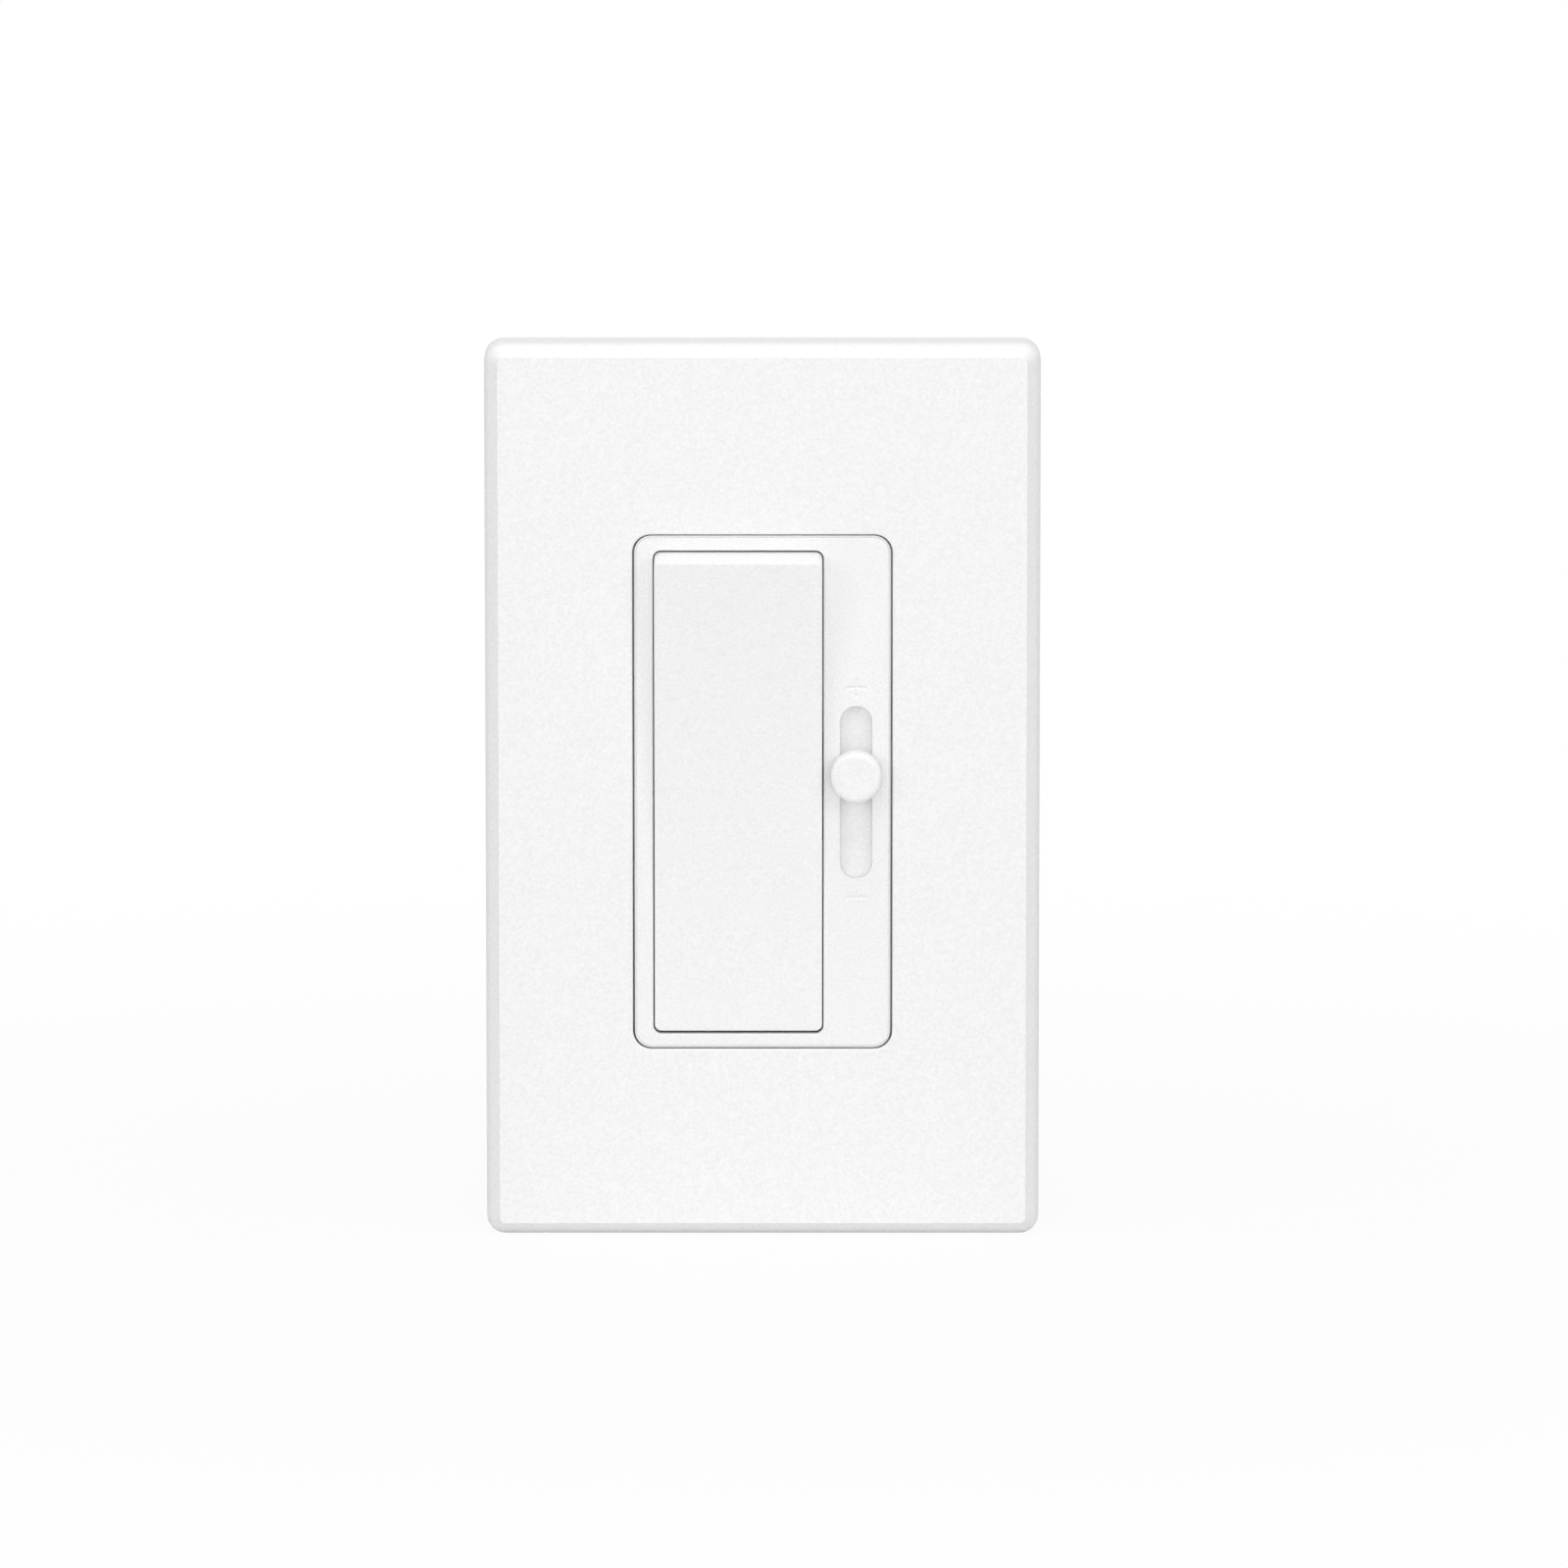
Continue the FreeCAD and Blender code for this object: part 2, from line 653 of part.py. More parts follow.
def make_adapter():
    """A flat frame screwed to the strap, with room round the box screws' heads."""
    body = new_body("wallplate_adapter")
    outline = new_sketch(body, "outline", "strap_thick")
    rounded_rectangle(outline, "adapter_width", "adapter_height", "adapter_corner")
    pad(body, outline, "adapter_thick")
    window = new_sketch(body, "window", "adapter_front")
    rectangle(window, "opening_width + 2 * adapter_window_gap", "opening_height + 2 * adapter_window_gap")
    pocket(body, window, "adapter_thick")
    heads = new_sketch(body, "head_holes", "adapter_front")
    for z in ("-box_spacing / 2", "box_spacing / 2"):
        circle(heads, "box_head_radius + head_clearance", centre_point(heads, 0, z))
    pocket(body, heads, "adapter_thick")
    holes = new_sketch(body, "screw_holes", "adapter_front")
    for z in ("-adapter_spacing / 2", "adapter_spacing / 2"):
        circle(holes, "screw_radius + hole_clearance", centre_point(holes, 0, z))
    pocket(body, holes, "adapter_thick")
    front = -(sizes.strap_thick + sizes.adapter_thick)
    reach = sizes.box_spacing / 2 + sizes.screw_step

    def round_screw_hole(edge):
        middle = abs(edge.CenterOfMass.x) < 1e-3 and abs(abs(edge.CenterOfMass.z) - reach) < 1e-3
        return middle and lies_at(edge, "y", front)

    sink = "adapter_head_radius - screw_radius - hole_clearance + head_clearance / 4"
    dress(body, "Chamfer", "countersinks", sink, round_screw_hole)


def make_adapter_screws():
    """Oval-head screws that hold the adapter to the strap."""
    screws = []
    for side, z in (("low", "-adapter_spacing / 2"), ("high", "adapter_spacing / 2")):
        name = f"adapter_screw_{side}"
        sink = "adapter_head_radius - screw_radius"
        head_front = "adapter_front + adapter_head_stand"
        shank = rod(name + "_shank", "screw_radius", 0, z, "adapter_front - adapter_screw_reach",
                    f"adapter_front - ({sink})")
        taper = cone(name + "_taper", "screw_radius", "adapter_head_radius", 0, z,
                     f"adapter_front - ({sink})", "adapter_front")
        crown = cone(name + "_crown", "adapter_head_radius", "adapter_head_radius - 3 * adapter_head_stand",
                     0, z, "adapter_front", head_front)
        slot = block(name + "_slot", 0, z, "2 * adapter_head_radius", "drive_width",
                     f"{head_front} - drive_depth", head_front)
        screws.append(cut(name, fuse(name + "_solid", [shank, taper, crown]), [slot]))
    group("adapter_screws", screws)


# Mounting strap and its screws
def make_strap():
    """A heat-spreading plate with ears, break-off side fins and a bent ground tab."""
    body = new_body("mounting_strap")
    plate = new_sketch(body, "plate")
    rounded_rectangle(plate, "strap_width + 2 * fin_reach", "fin_height", "fin_corner")
    pad(body, plate, "strap_thick")
    middle = new_sketch(body, "middle")
    rectangle(middle, "strap_width", "strap_plate_height")
    pad(body, middle, "strap_thick")
    ears = new_sketch(body, "ears")
    rounded_rectangle(ears, "ear_width", "strap_height", "ear_corner")
    pad(body, ears, "strap_thick")
    tab = new_sketch(body, "ground_tab", "-tab_reach", "tab_x", "tab_z")
    rectangle(tab, "tab_width", "strap_thick")
    pad(body, tab, "tab_reach + strap_thick")
    scores = new_sketch(body, "fin_scores", "strap_thick")
    for x in ("-strap_width / 2", "strap_width / 2"):
        rectangle(scores, "score_width", "fin_height + 2 * score_width", centre_point(scores, x, 0))
    pocket(body, scores, "score_depth")
    well = new_sketch(body, "mechanism_window", "strap_thick", "paddle_x")
    rectangle(well, "paddle_width + 2 * mechanism_side_gap", "mechanism_height")
    pocket(body, well, "strap_thick")
    passage = new_sketch(body, "leg_passage", "strap_thick", "slider_x", "slot_z")
    round_slot(passage, "passage_length + 2 * leg_gap", "passage_width / 2 + leg_gap")
    pocket(body, passage, "strap_thick")
    box_slots = new_sketch(body, "box_screw_slots", "strap_thick")
    for z in ("-box_spacing / 2", "box_spacing / 2"):
        round_slot(box_slots, "box_slot_length", "box_slot_radius", False, centre_point(box_slots, 0, z))
    pocket(body, box_slots, "strap_thick")
    holes = new_sketch(body, "screw_holes", "strap_thick")
    for z in ("-adapter_spacing / 2", "adapter_spacing / 2"):
        circle(holes, "screw_radius + hole_clearance", centre_point(holes, 0, z))
    for x in ("-boss_x", "boss_x"):
        for z in ("-boss_z", "boss_z"):
            circle(holes, "housing_screw_radius + hole_clearance", centre_point(holes, x, z))
    circle(holes, "rivet_radius + hole_clearance", centre_point(holes, "paddle_x", "rivet_z"))
    pocket(body, holes, "strap_thick")
    catches = new_sketch(body, "hook_holes", "strap_thick")
    for x in ("-hook_x", "hook_x"):
        for z in ("-hook_z", "hook_z"):
            spot = centre_point(catches, x, z)
            rectangle(catches, "hook_thick + 2 * hook_gap", "hook_width + 2 * hook_gap", spot)
    pocket(body, catches, "strap_thick")
    ground = new_sketch(body, "ground_hole", "tab_z + strap_thick / 2", "tab_x", "tab_middle", "XY_Plane")
    circle(ground, "terminal_screw_radius + hole_clearance")
    pocket(body, ground, "strap_thick")


def make_box_screws():
    """Pan-head screws: a neck in the strap, then a threaded shank into the wall box."""
    screws = []
    for side, z in (("low", "-box_spacing / 2"), ("high", "box_spacing / 2")):
        name = f"box_screw_{side}"
        head_front = "strap_thick + box_head_height"
        tip = "-box_screw_reach"
        shank = rod(name + "_shank", "screw_radius", 0, z, tip, 0)
        point = cone(name + "_point", "screw_radius / 2", "screw_radius", 0, z,
                     f"{tip} - screw_radius / 2", tip)
        neck = rod(name + "_neck", "neck_radius", 0, z, 0, "strap_thick")
        head = rod(name + "_head", "box_head_radius", 0, z, "strap_thick", f"{head_front} - head_edge")
        crown = cone(name + "_crown", "box_head_radius", "box_head_radius - head_edge", 0, z,
                     f"{head_front} - head_edge", head_front)
        slot = block(name + "_slot", 0, z, "2 * box_head_radius", "drive_width",
                     f"{head_front} - drive_depth", head_front)
        screws.append(cut(name, fuse(name + "_solid", [shank, point, neck, head, crown]), [slot]))
    group("box_screws", screws)


def make_retainers():
    """Washers of fibre that hold the box screws in the strap's slots until they are driven."""
    washers = []
    for side, z in (("low", "-box_spacing / 2"), ("high", "box_spacing / 2")):
        body = new_body(f"screw_retainer_{side}")
        outline = new_sketch(body, "outline", 0, 0, z)
        round_slot(outline, "box_slot_length - 2 * hole_clearance", "box_slot_radius - hole_clearance",
                   False)
        pad(body, outline, "strap_thick")
        hole = new_sketch(body, "hole", "strap_thick", 0, z)
        circle(hole, "neck_radius + hole_clearance")
        pocket(body, hole, "strap_thick")
        washers.append(body)
    group("screw_retainers", washers)


# Front bezel
def cut_marks(body):
    """The plus above the slot and the minus below it, cut as V-shaped grooves."""
    plus_z = "slot_z + mark_spacing / 2"
    minus_z = "slot_z - mark_spacing / 2"
    bars = {
        "plus_upright": (plus_z, "mark_width", "mark_length"),
        "plus_bar": (plus_z, "mark_length", "mark_width"),
        "minus_bar": (minus_z, "mark_length", "mark_width"),
    }
    for name, (z, width, height) in bars.items():
        bar = new_sketch(body, name, "bezel_front", "slider_x", z)
        rectangle(bar, width, height)
        bind(pocket(body, bar, "mark_depth"), "TaperAngle", "-mark_tilt")


def cut_pin_seats(body):
    """A hole for each of the paddle's pins, beside the well."""
    seat = new_sketch(body, "left_pin_seat", "paddle_x - window_width / 2 + overcut", "-pivot_height", 0,
                      "YZ_Plane")
    circle(seat, "pin_radius + pin_seat_fit")
    pocket(body, seat, "pin_seat + overcut")
    seat = new_sketch(body, "right_pin_seat", "rib_x + rib_thick / 2 + overcut", "-pivot_height", 0,
                      "YZ_Plane")
    circle(seat, "pin_radius + pin_seat_fit")
    pocket(body, seat, "rib_thick + 2 * overcut")


def add_hooks(body):
    """Four snap hooks that go through the strap and grip its back."""
    hooks = new_sketch(body, "hooks", "-hook_reach")
    barbs = new_sketch(body, "barbs", "-hook_reach")
    for side in ("-", ""):
        for z in ("-hook_z", "hook_z"):
            spot = centre_point(hooks, f"{side}hook_x", z)
            rectangle(hooks, "hook_thick", "hook_width", spot)
            spot = centre_point(barbs, f"{side}(hook_x + hook_barb / 2)", z)
            rectangle(barbs, "hook_thick + hook_barb", "hook_width", spot)
    pad(body, hooks, "hook_reach + strap_thick")
    pad(body, barbs, "hook_reach - hook_gap")


def make_bezel():
    """The inner frame: shouldered face, paddle's window and well, slider's channel and slot, marks."""
    body = new_body("front_bezel")
    outline = new_sketch(body, "outline", "strap_thick")
    rounded_rectangle(outline, "bezel_width", "bezel_height", "bezel_corner")
    pad(body, outline, "bezel_front - shoulder_depth - strap_thick")
    raised = new_sketch(body, "raised_face", "strap_thick")
    rounded_rectangle(raised, "bezel_width - 2 * shoulder_width", "bezel_height - 2 * shoulder_width",
                      "bezel_corner - shoulder_width")
    pad(body, raised, "bezel_front - strap_thick")
    doc.recompute()
    dress(body, "Fillet", "edge", "bezel_edge", at_front(body))
    window = new_sketch(body, "window", "bezel_front", "paddle_x", "-window_drop")
    rounded_rectangle(window, "window_width", "window_height", "window_corner")
    pocket(body, window, "bezel_front - strap_thick")
    slot = new_sketch(body, "slot", "bezel_front", "slider_x", "slot_z")
    round_slot(slot, "slot_length", "slot_width / 2")
    pocket(body, slot, "bezel_front - strap_thick")
    dress(body, "Fillet", "rim_edge", "rim_edge", round_openings(body))
    well = new_sketch(body, "well", "bezel_back_of_face", "paddle_x")
    rectangle(well, "window_width", "well_height")
    pocket(body, well, "bezel_back_of_face - strap_thick")
    channel = new_sketch(body, "channel", "bezel_back_of_face", "slider_x")
    rectangle(channel, "channel_width", "well_height")
    pocket(body, channel, "bezel_back_of_face - strap_thick")
    cut_marks(body)
    cut_pin_seats(body)
    add_hooks(body)


# Paddle, pins, plunger and spring
def paddle_profile(sketch):
    """Draw the paddle's side view: dished front, flat skirt, ends that sweep about the pivot."""
    sweep = 30.0
    front = -sizes.paddle_reach
    skirt = -sizes.paddle_skirt
    dish = sizes.paddle_dish
    front_z = math.sqrt(sweep ** 2 - front ** 2)
    skirt_z = math.sqrt(sweep ** 2 - skirt ** 2)
    dish_radius = (front_z ** 2 + dish ** 2) / (2 * dish)
    spread = math.asin(front_z / dish_radius)
    rim = Part.Circle(Vector(0, 0, 0), Vector(0, 0, 1), sweep)
    bowl = Part.Circle(Vector(front + dish - dish_radius, 0, 0), Vector(0, 0, 1), dish_radius)
    high = (math.atan2(skirt_z, skirt), math.atan2(front_z, front))
    low = (math.atan2(-front_z, front), math.atan2(-skirt_z, skirt))
    sketch.addGeometry(Part.ArcOfCircle(rim, *high), False)
    sketch.addGeometry(Part.ArcOfCircle(bowl, -spread, spread), False)
    sketch.addGeometry(Part.ArcOfCircle(rim, *low), False)
    sketch.addGeometry(Part.LineSegment(Vector(skirt, -skirt_z, 0), Vector(skirt, skirt_z, 0)), False)
    for joint in ((0, 2, 1, 2), (1, 1, 2, 1), (2, 2, 3, 1), (3, 2, 0, 1)):
        sketch.addConstraint(C("Coincident", *joint))
    for arc in (0, 2):
        sketch.addConstraint(C("Coincident", arc, 3, *ORIGIN))
    sketch.addConstraint(C("Vertical", 1, 1, 1, 2))
    sketch.addConstraint(C("Vertical", 3))
    sketch.addConstraint(C("Equal", 0, 2))
    drive(sketch, C("Radius", 0, sweep), "paddle_sweep")
    drive(sketch, C("Radius", 1, dish_radius), "dish_radius")
    drive(sketch, C("DistanceX", 1, 1, -1, 1, sizes.paddle_reach), "paddle_reach")
    drive(sketch, C("DistanceX", 3, 1, -1, 1, sizes.paddle_skirt), "paddle_skirt")


def set_on_pivot(item):
    """Place a piece modelled about the paddle's pivot, tilted with its top out as at rest."""
    item.Placement = Placement(Vector(0, 0, 0), Rotation(Vector(1, 0, 0), 1))
    bind(item, ".Placement.Rotation.Angle", "paddle_tilt")
    bind_base(item, "paddle_x", "pivot_height", 0)


def make_paddle():
    """A hollow rocker with a dished face, two ears on the pivot pins and a tube for the spring plunger."""
    body = new_body("paddle")
    profile = new_sketch(body, "profile", 0, 0, 0, "YZ_Plane")
    paddle_profile(profile)
    pad(body, profile, "paddle_width", True)
    doc.recompute()
    half = sizes.paddle_width / 2
    depth = sizes.paddle_reach - sizes.paddle_skirt

    def end_corner(edge):
        on_side = lies_at(edge, "x", half) or lies_at(edge, "x", -half)
        return on_side and extent(edge, "y")[1] - extent(edge, "y")[0] > depth - 1e-4

    def front_rim(edge):
        return extent(edge, "y")[1] < sizes.paddle_dish - sizes.paddle_reach + 1e-4

    dress(body, "Fillet", "corners", "paddle_corner", end_corner)
    dress(body, "Fillet", "edge", "paddle_edge", front_rim)
    hollow = new_sketch(body, "hollow", "paddle_ceiling")
    inner_height = "2 * sqrt(paddle_sweep^2 - paddle_reach^2) - 2 * paddle_wall"
    rectangle(hollow, "paddle_width - 2 * paddle_wall", inner_height)
    pocket(body, hollow, "paddle_ceiling")
    for side, inner_face in (("left", "-paddle_width / 2"), ("right", "paddle_width / 2 - ear_thick")):
        lug_length = "paddle_ceiling + paddle_face / 2 + ear_radius"
        ear = new_sketch(body, side + "_ear", inner_face, f"ear_radius - ({lug_length}) / 2", 0, "YZ_Plane")
        round_slot(ear, lug_length, "ear_radius", False)
        pad(body, ear, "ear_thick")
    tube = new_sketch(body, "tube", "-tube_reach")
    circle(tube, "tube_radius")
    pad(body, tube, "tube_reach + paddle_ceiling + paddle_face / 2")
    bore = new_sketch(body, "tube_bore", "paddle_ceiling")
    circle(bore, "plunger_radius + plunger_fit")
    pocket(body, bore, "tube_reach + paddle_ceiling")
    for side, outer_face in (("left", "ear_thick - paddle_width / 2"), ("right", "paddle_width / 2")):
        hole = new_sketch(body, side + "_pin_hole", f"{outer_face} + pin_fit", 0, 0, "YZ_Plane")
        circle(hole, "pin_radius + pin_fit")
        pocket(body, hole, "ear_thick + 2 * pin_fit")
    set_on_pivot(body)


def make_paddle_pins():
    """Two steel pins: each runs from its seat in the bezel through an ear of the paddle."""
    left_seat = "paddle_x - window_width / 2 - pin_seat"
    left = cross_rod("paddle_pin_left", "pin_radius", "pivot_height", 0, left_seat,
                     "paddle_x - paddle_width / 2 + ear_thick")
    right = cross_rod("paddle_pin_right", "pin_radius", "pivot_height", 0,
                      "paddle_x + paddle_width / 2 - ear_thick", "rib_x + rib_thick / 2")
    group("paddle_pins", [left, right])


def make_plunger():
    """A round-nosed plunger in the paddle's tube."""
    barrel = rod("plunger_barrel", "plunger_radius", 0, 0, "plunger_radius - plunger_tip", "-plunger_back")
    nose = doc.addObject("Part::Sphere", "plunger_nose")
    bind(nose, "Radius", "plunger_radius")
    bind_base(nose, 0, "plunger_radius - plunger_tip", 0)
    set_on_pivot(fuse("plunger", [barrel, nose]))


def make_plunger_spring():
    """The space of the coil spring between the plunger and the paddle's front wall."""
    sleeve = rod("spring_outside", "spring_radius", 0, 0, "-plunger_back", "paddle_ceiling")
    bore = rod("spring_inside", "spring_radius - 2 * spring_wire", 0, 0, "-plunger_back", "paddle_ceiling")
    set_on_pivot(cut("plunger_spring", sleeve, [bore]))


# Rocking contact and the contacts behind it
def set_on_fulcrum(item):
    """Place a piece modelled about the fulcrum, tilted with its upper arm back as at rest."""
    item.Placement = Placement(Vector(0, 0, 0), Rotation(Vector(-1, 0, 0), 1))
    bind(item, ".Placement.Rotation.Angle", "rocker_tilt")
    bind_base(item, "paddle_x", "rocker_axis", 0)


def make_rocker():
    """The rocking contact: a plate with cheeks that keep it on the fulcrum."""
    plate = block("rocker_plate", 0, 0, "rocker_width", "rocker_length", "rocker_back",
                  "rocker_back + rocker_thick")
    parts = [plate]
    for side, sign in (("left", "-"), ("right", "")):
        middle = f"{sign}(rocker_width - rocker_lip) / 2"
        parts.append(block(f"rocker_cheek_{side}", middle, 0, "rocker_lip", "2 * rocker_thick + rocker_lip",
                           "-rocker_lip", "rocker_back"))
    set_on_fulcrum(fuse("contact_rocker", parts))
    buttons = []
    for side, z in (("low", "-contact_z"), ("high", "contact_z")):
        buttons.append(rod(f"moving_contact_{side}", "contact_radius", 0, z, "contact_back", "rocker_back"))
    set_on_fulcrum(group("moving_contacts", buttons))


def make_switch_base():
    """A moulded tray on the circuit board round the rocking contact."""
    outside = block("base_outside", "paddle_x", 0, "base_width", "base_height", "-board_front",
                    "-base_front")
    inside = block("base_inside", "paddle_x", 0, "base_width - 2 * base_wall",
                   "base_height - 2 * base_wall", "-floor_front", "-base_front")
    cut("switch_base", outside, [inside])


def make_common_terminal():
    """The fulcrum bar that feeds the rocking contact."""
    width = "rocker_width - 2 * rocker_lip - 2 * contact_gap"
    half = f"({width}) / 2"
    bar = block("fulcrum_bar", "paddle_x", 0, width, "2 * fulcrum_radius", "-floor_front", "rocker_axis")
    edge = cross_rod("fulcrum_edge", "fulcrum_radius", "rocker_axis", 0, f"paddle_x - {half}",
                     f"paddle_x + {half}")
    fuse("fulcrum_terminal", [bar, edge])


def make_fixed_contacts():
    """Two contact strips, each with a button that faces the rocking contact squarely when they meet."""
    strips = []
    button_front = "(contact_back - contact_gap)"
    sunk = "contact_thick * 1.8"
    height = f"rocker_axis + {button_front} * cos(rocker_tilt) - contact_z * sin(rocker_tilt)"
    place = f"(contact_z * cos(rocker_tilt) + {button_front} * sin(rocker_tilt))"
    for side, sign, turn in (("low", "-", -1), ("high", "", 1)):
        strip = block(f"contact_strip_{side}", "paddle_x", f"{sign}(base_height / 2 - base_wall) / 1.4",
                      "2 * contact_radius + 2", "2 * contact_radius + 2", "-floor_front",
                      "strip_thick - floor_front")
        button = doc.addObject("Part::Cylinder", f"fixed_contact_{side}")
        button.Placement = Placement(Vector(0, 0, 0), Rotation(Vector(1, 0, 0), 1))
        bind(button, "Radius", "contact_radius")
        bind(button, "Height", sunk)
        bind(button, ".Placement.Rotation.Angle", f"-90 - {turn} * rocker_tilt")
        bind_base(button, "paddle_x", height, sign + place)
        strips.append(fuse(f"traveller_contact_{side}", [strip, button]))
    group("traveller_contacts", strips)


# Slider, its guide and the potentiometer
def make_slider():
    """Knob, carriage with dust shield and stem, and the drive leg, at the photographed setting."""
    back = "knob_back"
    front = "knob_back + knob_thick"
    body = new_body("slider_knob")
    disc = new_sketch(body, "disc", back, "slider_x", "knob_z")
    circle(disc, "knob_radius")
    pad(body, disc, front + " - (" + back + ")")
    doc.recompute()
    dress(body, "Fillet", "edge", "knob_edge", at_front(body))
    body = new_body("slider_carriage")
    shield = new_sketch(body, "shield", "shield_back", "slider_x", "knob_z")
    rectangle(shield, "shield_width", "shield_length")
    pad(body, shield, "shield_thick")
    stem = new_sketch(body, "stem", "shield_front", "slider_x", "knob_z")
    round_slot(stem, "2 * stem_half", "stem_radius")
    pad(body, stem, "knob_back - shield_front")
    block("drive_leg", "slider_x", "knob_z", "leg_width", "leg_length", "-wiper_front", "shield_back")


def make_slider_guide():
    """Rails on the strap that carry the dust shield from behind."""
    outside = block("guide_outside", "slider_x", 0, "shield_width", "guide_height", "strap_thick",
                    "shield_back - shield_gap")
    inside = block("guide_inside", "slider_x", "slot_z", "passage_width", "passage_length", "strap_thick",
                   "shield_back - shield_gap")
    cut("slider_guide", outside, [inside])


def make_potentiometer():
    """The slide potentiometer on the board: can, resistive track, wiper and its brush."""
    travel_length = "2 * slider_travel + wiper_length + 2 * wiper_gap"
    channel = "leg_width + 2 * leg_gap"
    can = block("pot_outside", "slider_x", "slot_z", "pot_width", "pot_length", "-board_front", "-pot_front")
    room = block("pot_channel", "slider_x", "slot_z", channel, travel_length, "-pot_channel_floor",
                 "-pot_front")
    cut("pot_can", can, [room])
    track_front = "track_thick - pot_channel_floor"
    block("pot_track", "slider_x", "slot_z", "leg_width", travel_length, "-pot_channel_floor", track_front)
    brush_back = f"{track_front} + brush_gap"
    brush_front = f"{brush_back} + brush_thick"
    block("pot_wiper", "slider_x", "knob_z", "leg_width", "wiper_length", brush_front, "-wiper_front")
    block("pot_brush", "slider_x", "knob_z", "leg_width / 2", "wiper_length / 2", brush_back, brush_front)


# Housing and terminals
TERMINALS = (("common", -1, "0"), ("traveller_low", 1, "-traveller_z"), ("traveller_high", 1, "traveller_z"))


def make_housing():
    """A box with corner bosses, screwed to the strap, and three recessed terminals in its sides."""
    body = new_body("housing")
    outline = new_sketch(body, "outline", "-housing_depth")
    rounded_rectangle(outline, "housing_width", "housing_height", "housing_corner")
    pad(body, outline, "housing_depth")
    doc.recompute()
    rear = sizes.housing_depth
    dress(body, "Fillet", "rear_edge", "housing_edge", lambda edge: lies_at(edge, "y", rear))
    inside = new_sketch(body, "inside", 0)
    rectangle(inside, "inner_width", "inner_height")
    pocket(body, inside, "inner_depth")
    bosses = new_sketch(body, "bosses", "-inner_depth - housing_back / 2")
    for x in ("-boss_x", "boss_x"):
        for z in ("-boss_z", "boss_z"):
            circle(bosses, "boss_radius", centre_point(bosses, x, z))
    pad(body, bosses, "inner_depth + housing_back / 2")
    for name, side, z in TERMINALS:
        middle = f"{side} * (housing_width / 2 - housing_wall / 2 - (block_reach - housing_wall) / 2)"
        solid = new_sketch(body, name + "_block", "-inner_depth - housing_back / 2", middle, z)
        rectangle(solid, "block_reach - housing_wall + 0.01", "block_height")
        pad(body, solid, "inner_depth + housing_back / 2 - board_back")
        level = "housing_width / 2 + overcut" if side > 0 else "-recess_x"
        recess = new_sketch(body, name + "_recess", level, "recess_middle", z, "YZ_Plane")
        rectangle(recess, "recess_back - recess_front", "recess_height")
        pocket(body, recess, "recess_depth + overcut")
        level = "recess_x + overcut" if side > 0 else "terminal_screw_reach - recess_x"
        hole = new_sketch(body, name + "_screw_hole", level, "recess_middle", z, "YZ_Plane")
        circle(hole, "terminal_screw_radius + hole_clearance")
        pocket(body, hole, "terminal_screw_reach + overcut")
        wires = new_sketch(body, name + "_wire_holes", "-recess_back + overcut")
        for offset in ("-wire_hole_spacing / 2", "wire_hole_spacing / 2"):
            x = f"{side} * (recess_x + recess_depth / 2 + wire_hole_radius / 2)"
            circle(wires, "wire_hole_radius", centre_point(wires, x, f"{z} + {offset}"))
        pocket(body, wires, "housing_depth - recess_back + overcut")
    bores = new_sketch(body, "screw_bores", 0)
    sinks = new_sketch(body, "screw_counterbores", "counterbore_depth - housing_depth")
    for x in ("-boss_x", "boss_x"):
        for z in ("-boss_z", "boss_z"):
            circle(bores, "housing_screw_radius + hole_clearance", centre_point(bores, x, z))
            circle(sinks, "housing_head_radius + hole_clearance", centre_point(sinks, x, z))
    pocket(body, bores, "housing_depth")
    pocket(body, sinks, "counterbore_depth")
    gauge = new_sketch(body, "strip_gauge", "gauge_depth - housing_depth", 0, "gauge_z")
    rectangle(gauge, "gauge_length", "gauge_width")
    ejectors = new_sketch(body, "ejector_marks", "ejector_depth - housing_depth")
    for z in ("-ejector_z", "ejector_z"):
        circle(ejectors, "ejector_radius", centre_point(ejectors, 0, z))
    pocket(body, gauge, "gauge_depth")
    pocket(body, ejectors, "ejector_depth")


def make_housing_screws():
    """Four long screws from the housing's back into the strap."""
    screws = []
    seat = "counterbore_depth - housing_depth"
    for column, x in (("left", "-boss_x"), ("right", "boss_x")):
        for row, z in (("low", "-boss_z"), ("high", "boss_z")):
            name = f"housing_screw_{row}_{column}"
            shank = rod(name + "_shank", "housing_screw_radius", x, z, seat, "strap_thick")
            head = rod(name + "_head", "housing_head_radius", x, z, f"{seat} - housing_head_height", seat)
            slot = block(name + "_slot", x, z, "2 * housing_head_radius", "drive_width",
                         f"{seat} - housing_head_height", f"{seat} - housing_head_height + drive_depth")
            screws.append(cut(name, fuse(name + "_solid", [shank, head]), [slot]))
    group("housing_screws", screws)


def terminal_screw(name, side, z):
    """Make a slotted binding screw seated on its terminal plate."""
    seat = "recess_x + terminal_thick"
    spans = {
        "shank": ("terminal_screw_radius", "recess_x - terminal_screw_reach + terminal_tip_gap", seat),
        "head": ("terminal_head_radius", seat, f"{seat} + terminal_head_height"),
    }
    parts = []
    for part, (radius, inner, outer) in spans.items():
        ends = (inner, outer) if side > 0 else (f"-({outer})", f"-({inner})")
        parts.append(cross_rod(f"{name}_{part}", radius, "-recess_middle", z, *ends))
    front = f"{seat} + terminal_head_height - drive_depth / 2"
    slot = block(name + "_slot", f"{side} * ({front})", z, "drive_depth", "drive_width",
                 "-recess_middle - terminal_head_radius", "terminal_head_radius - recess_middle")
    return cut(name, fuse(name + "_solid", parts), [slot])


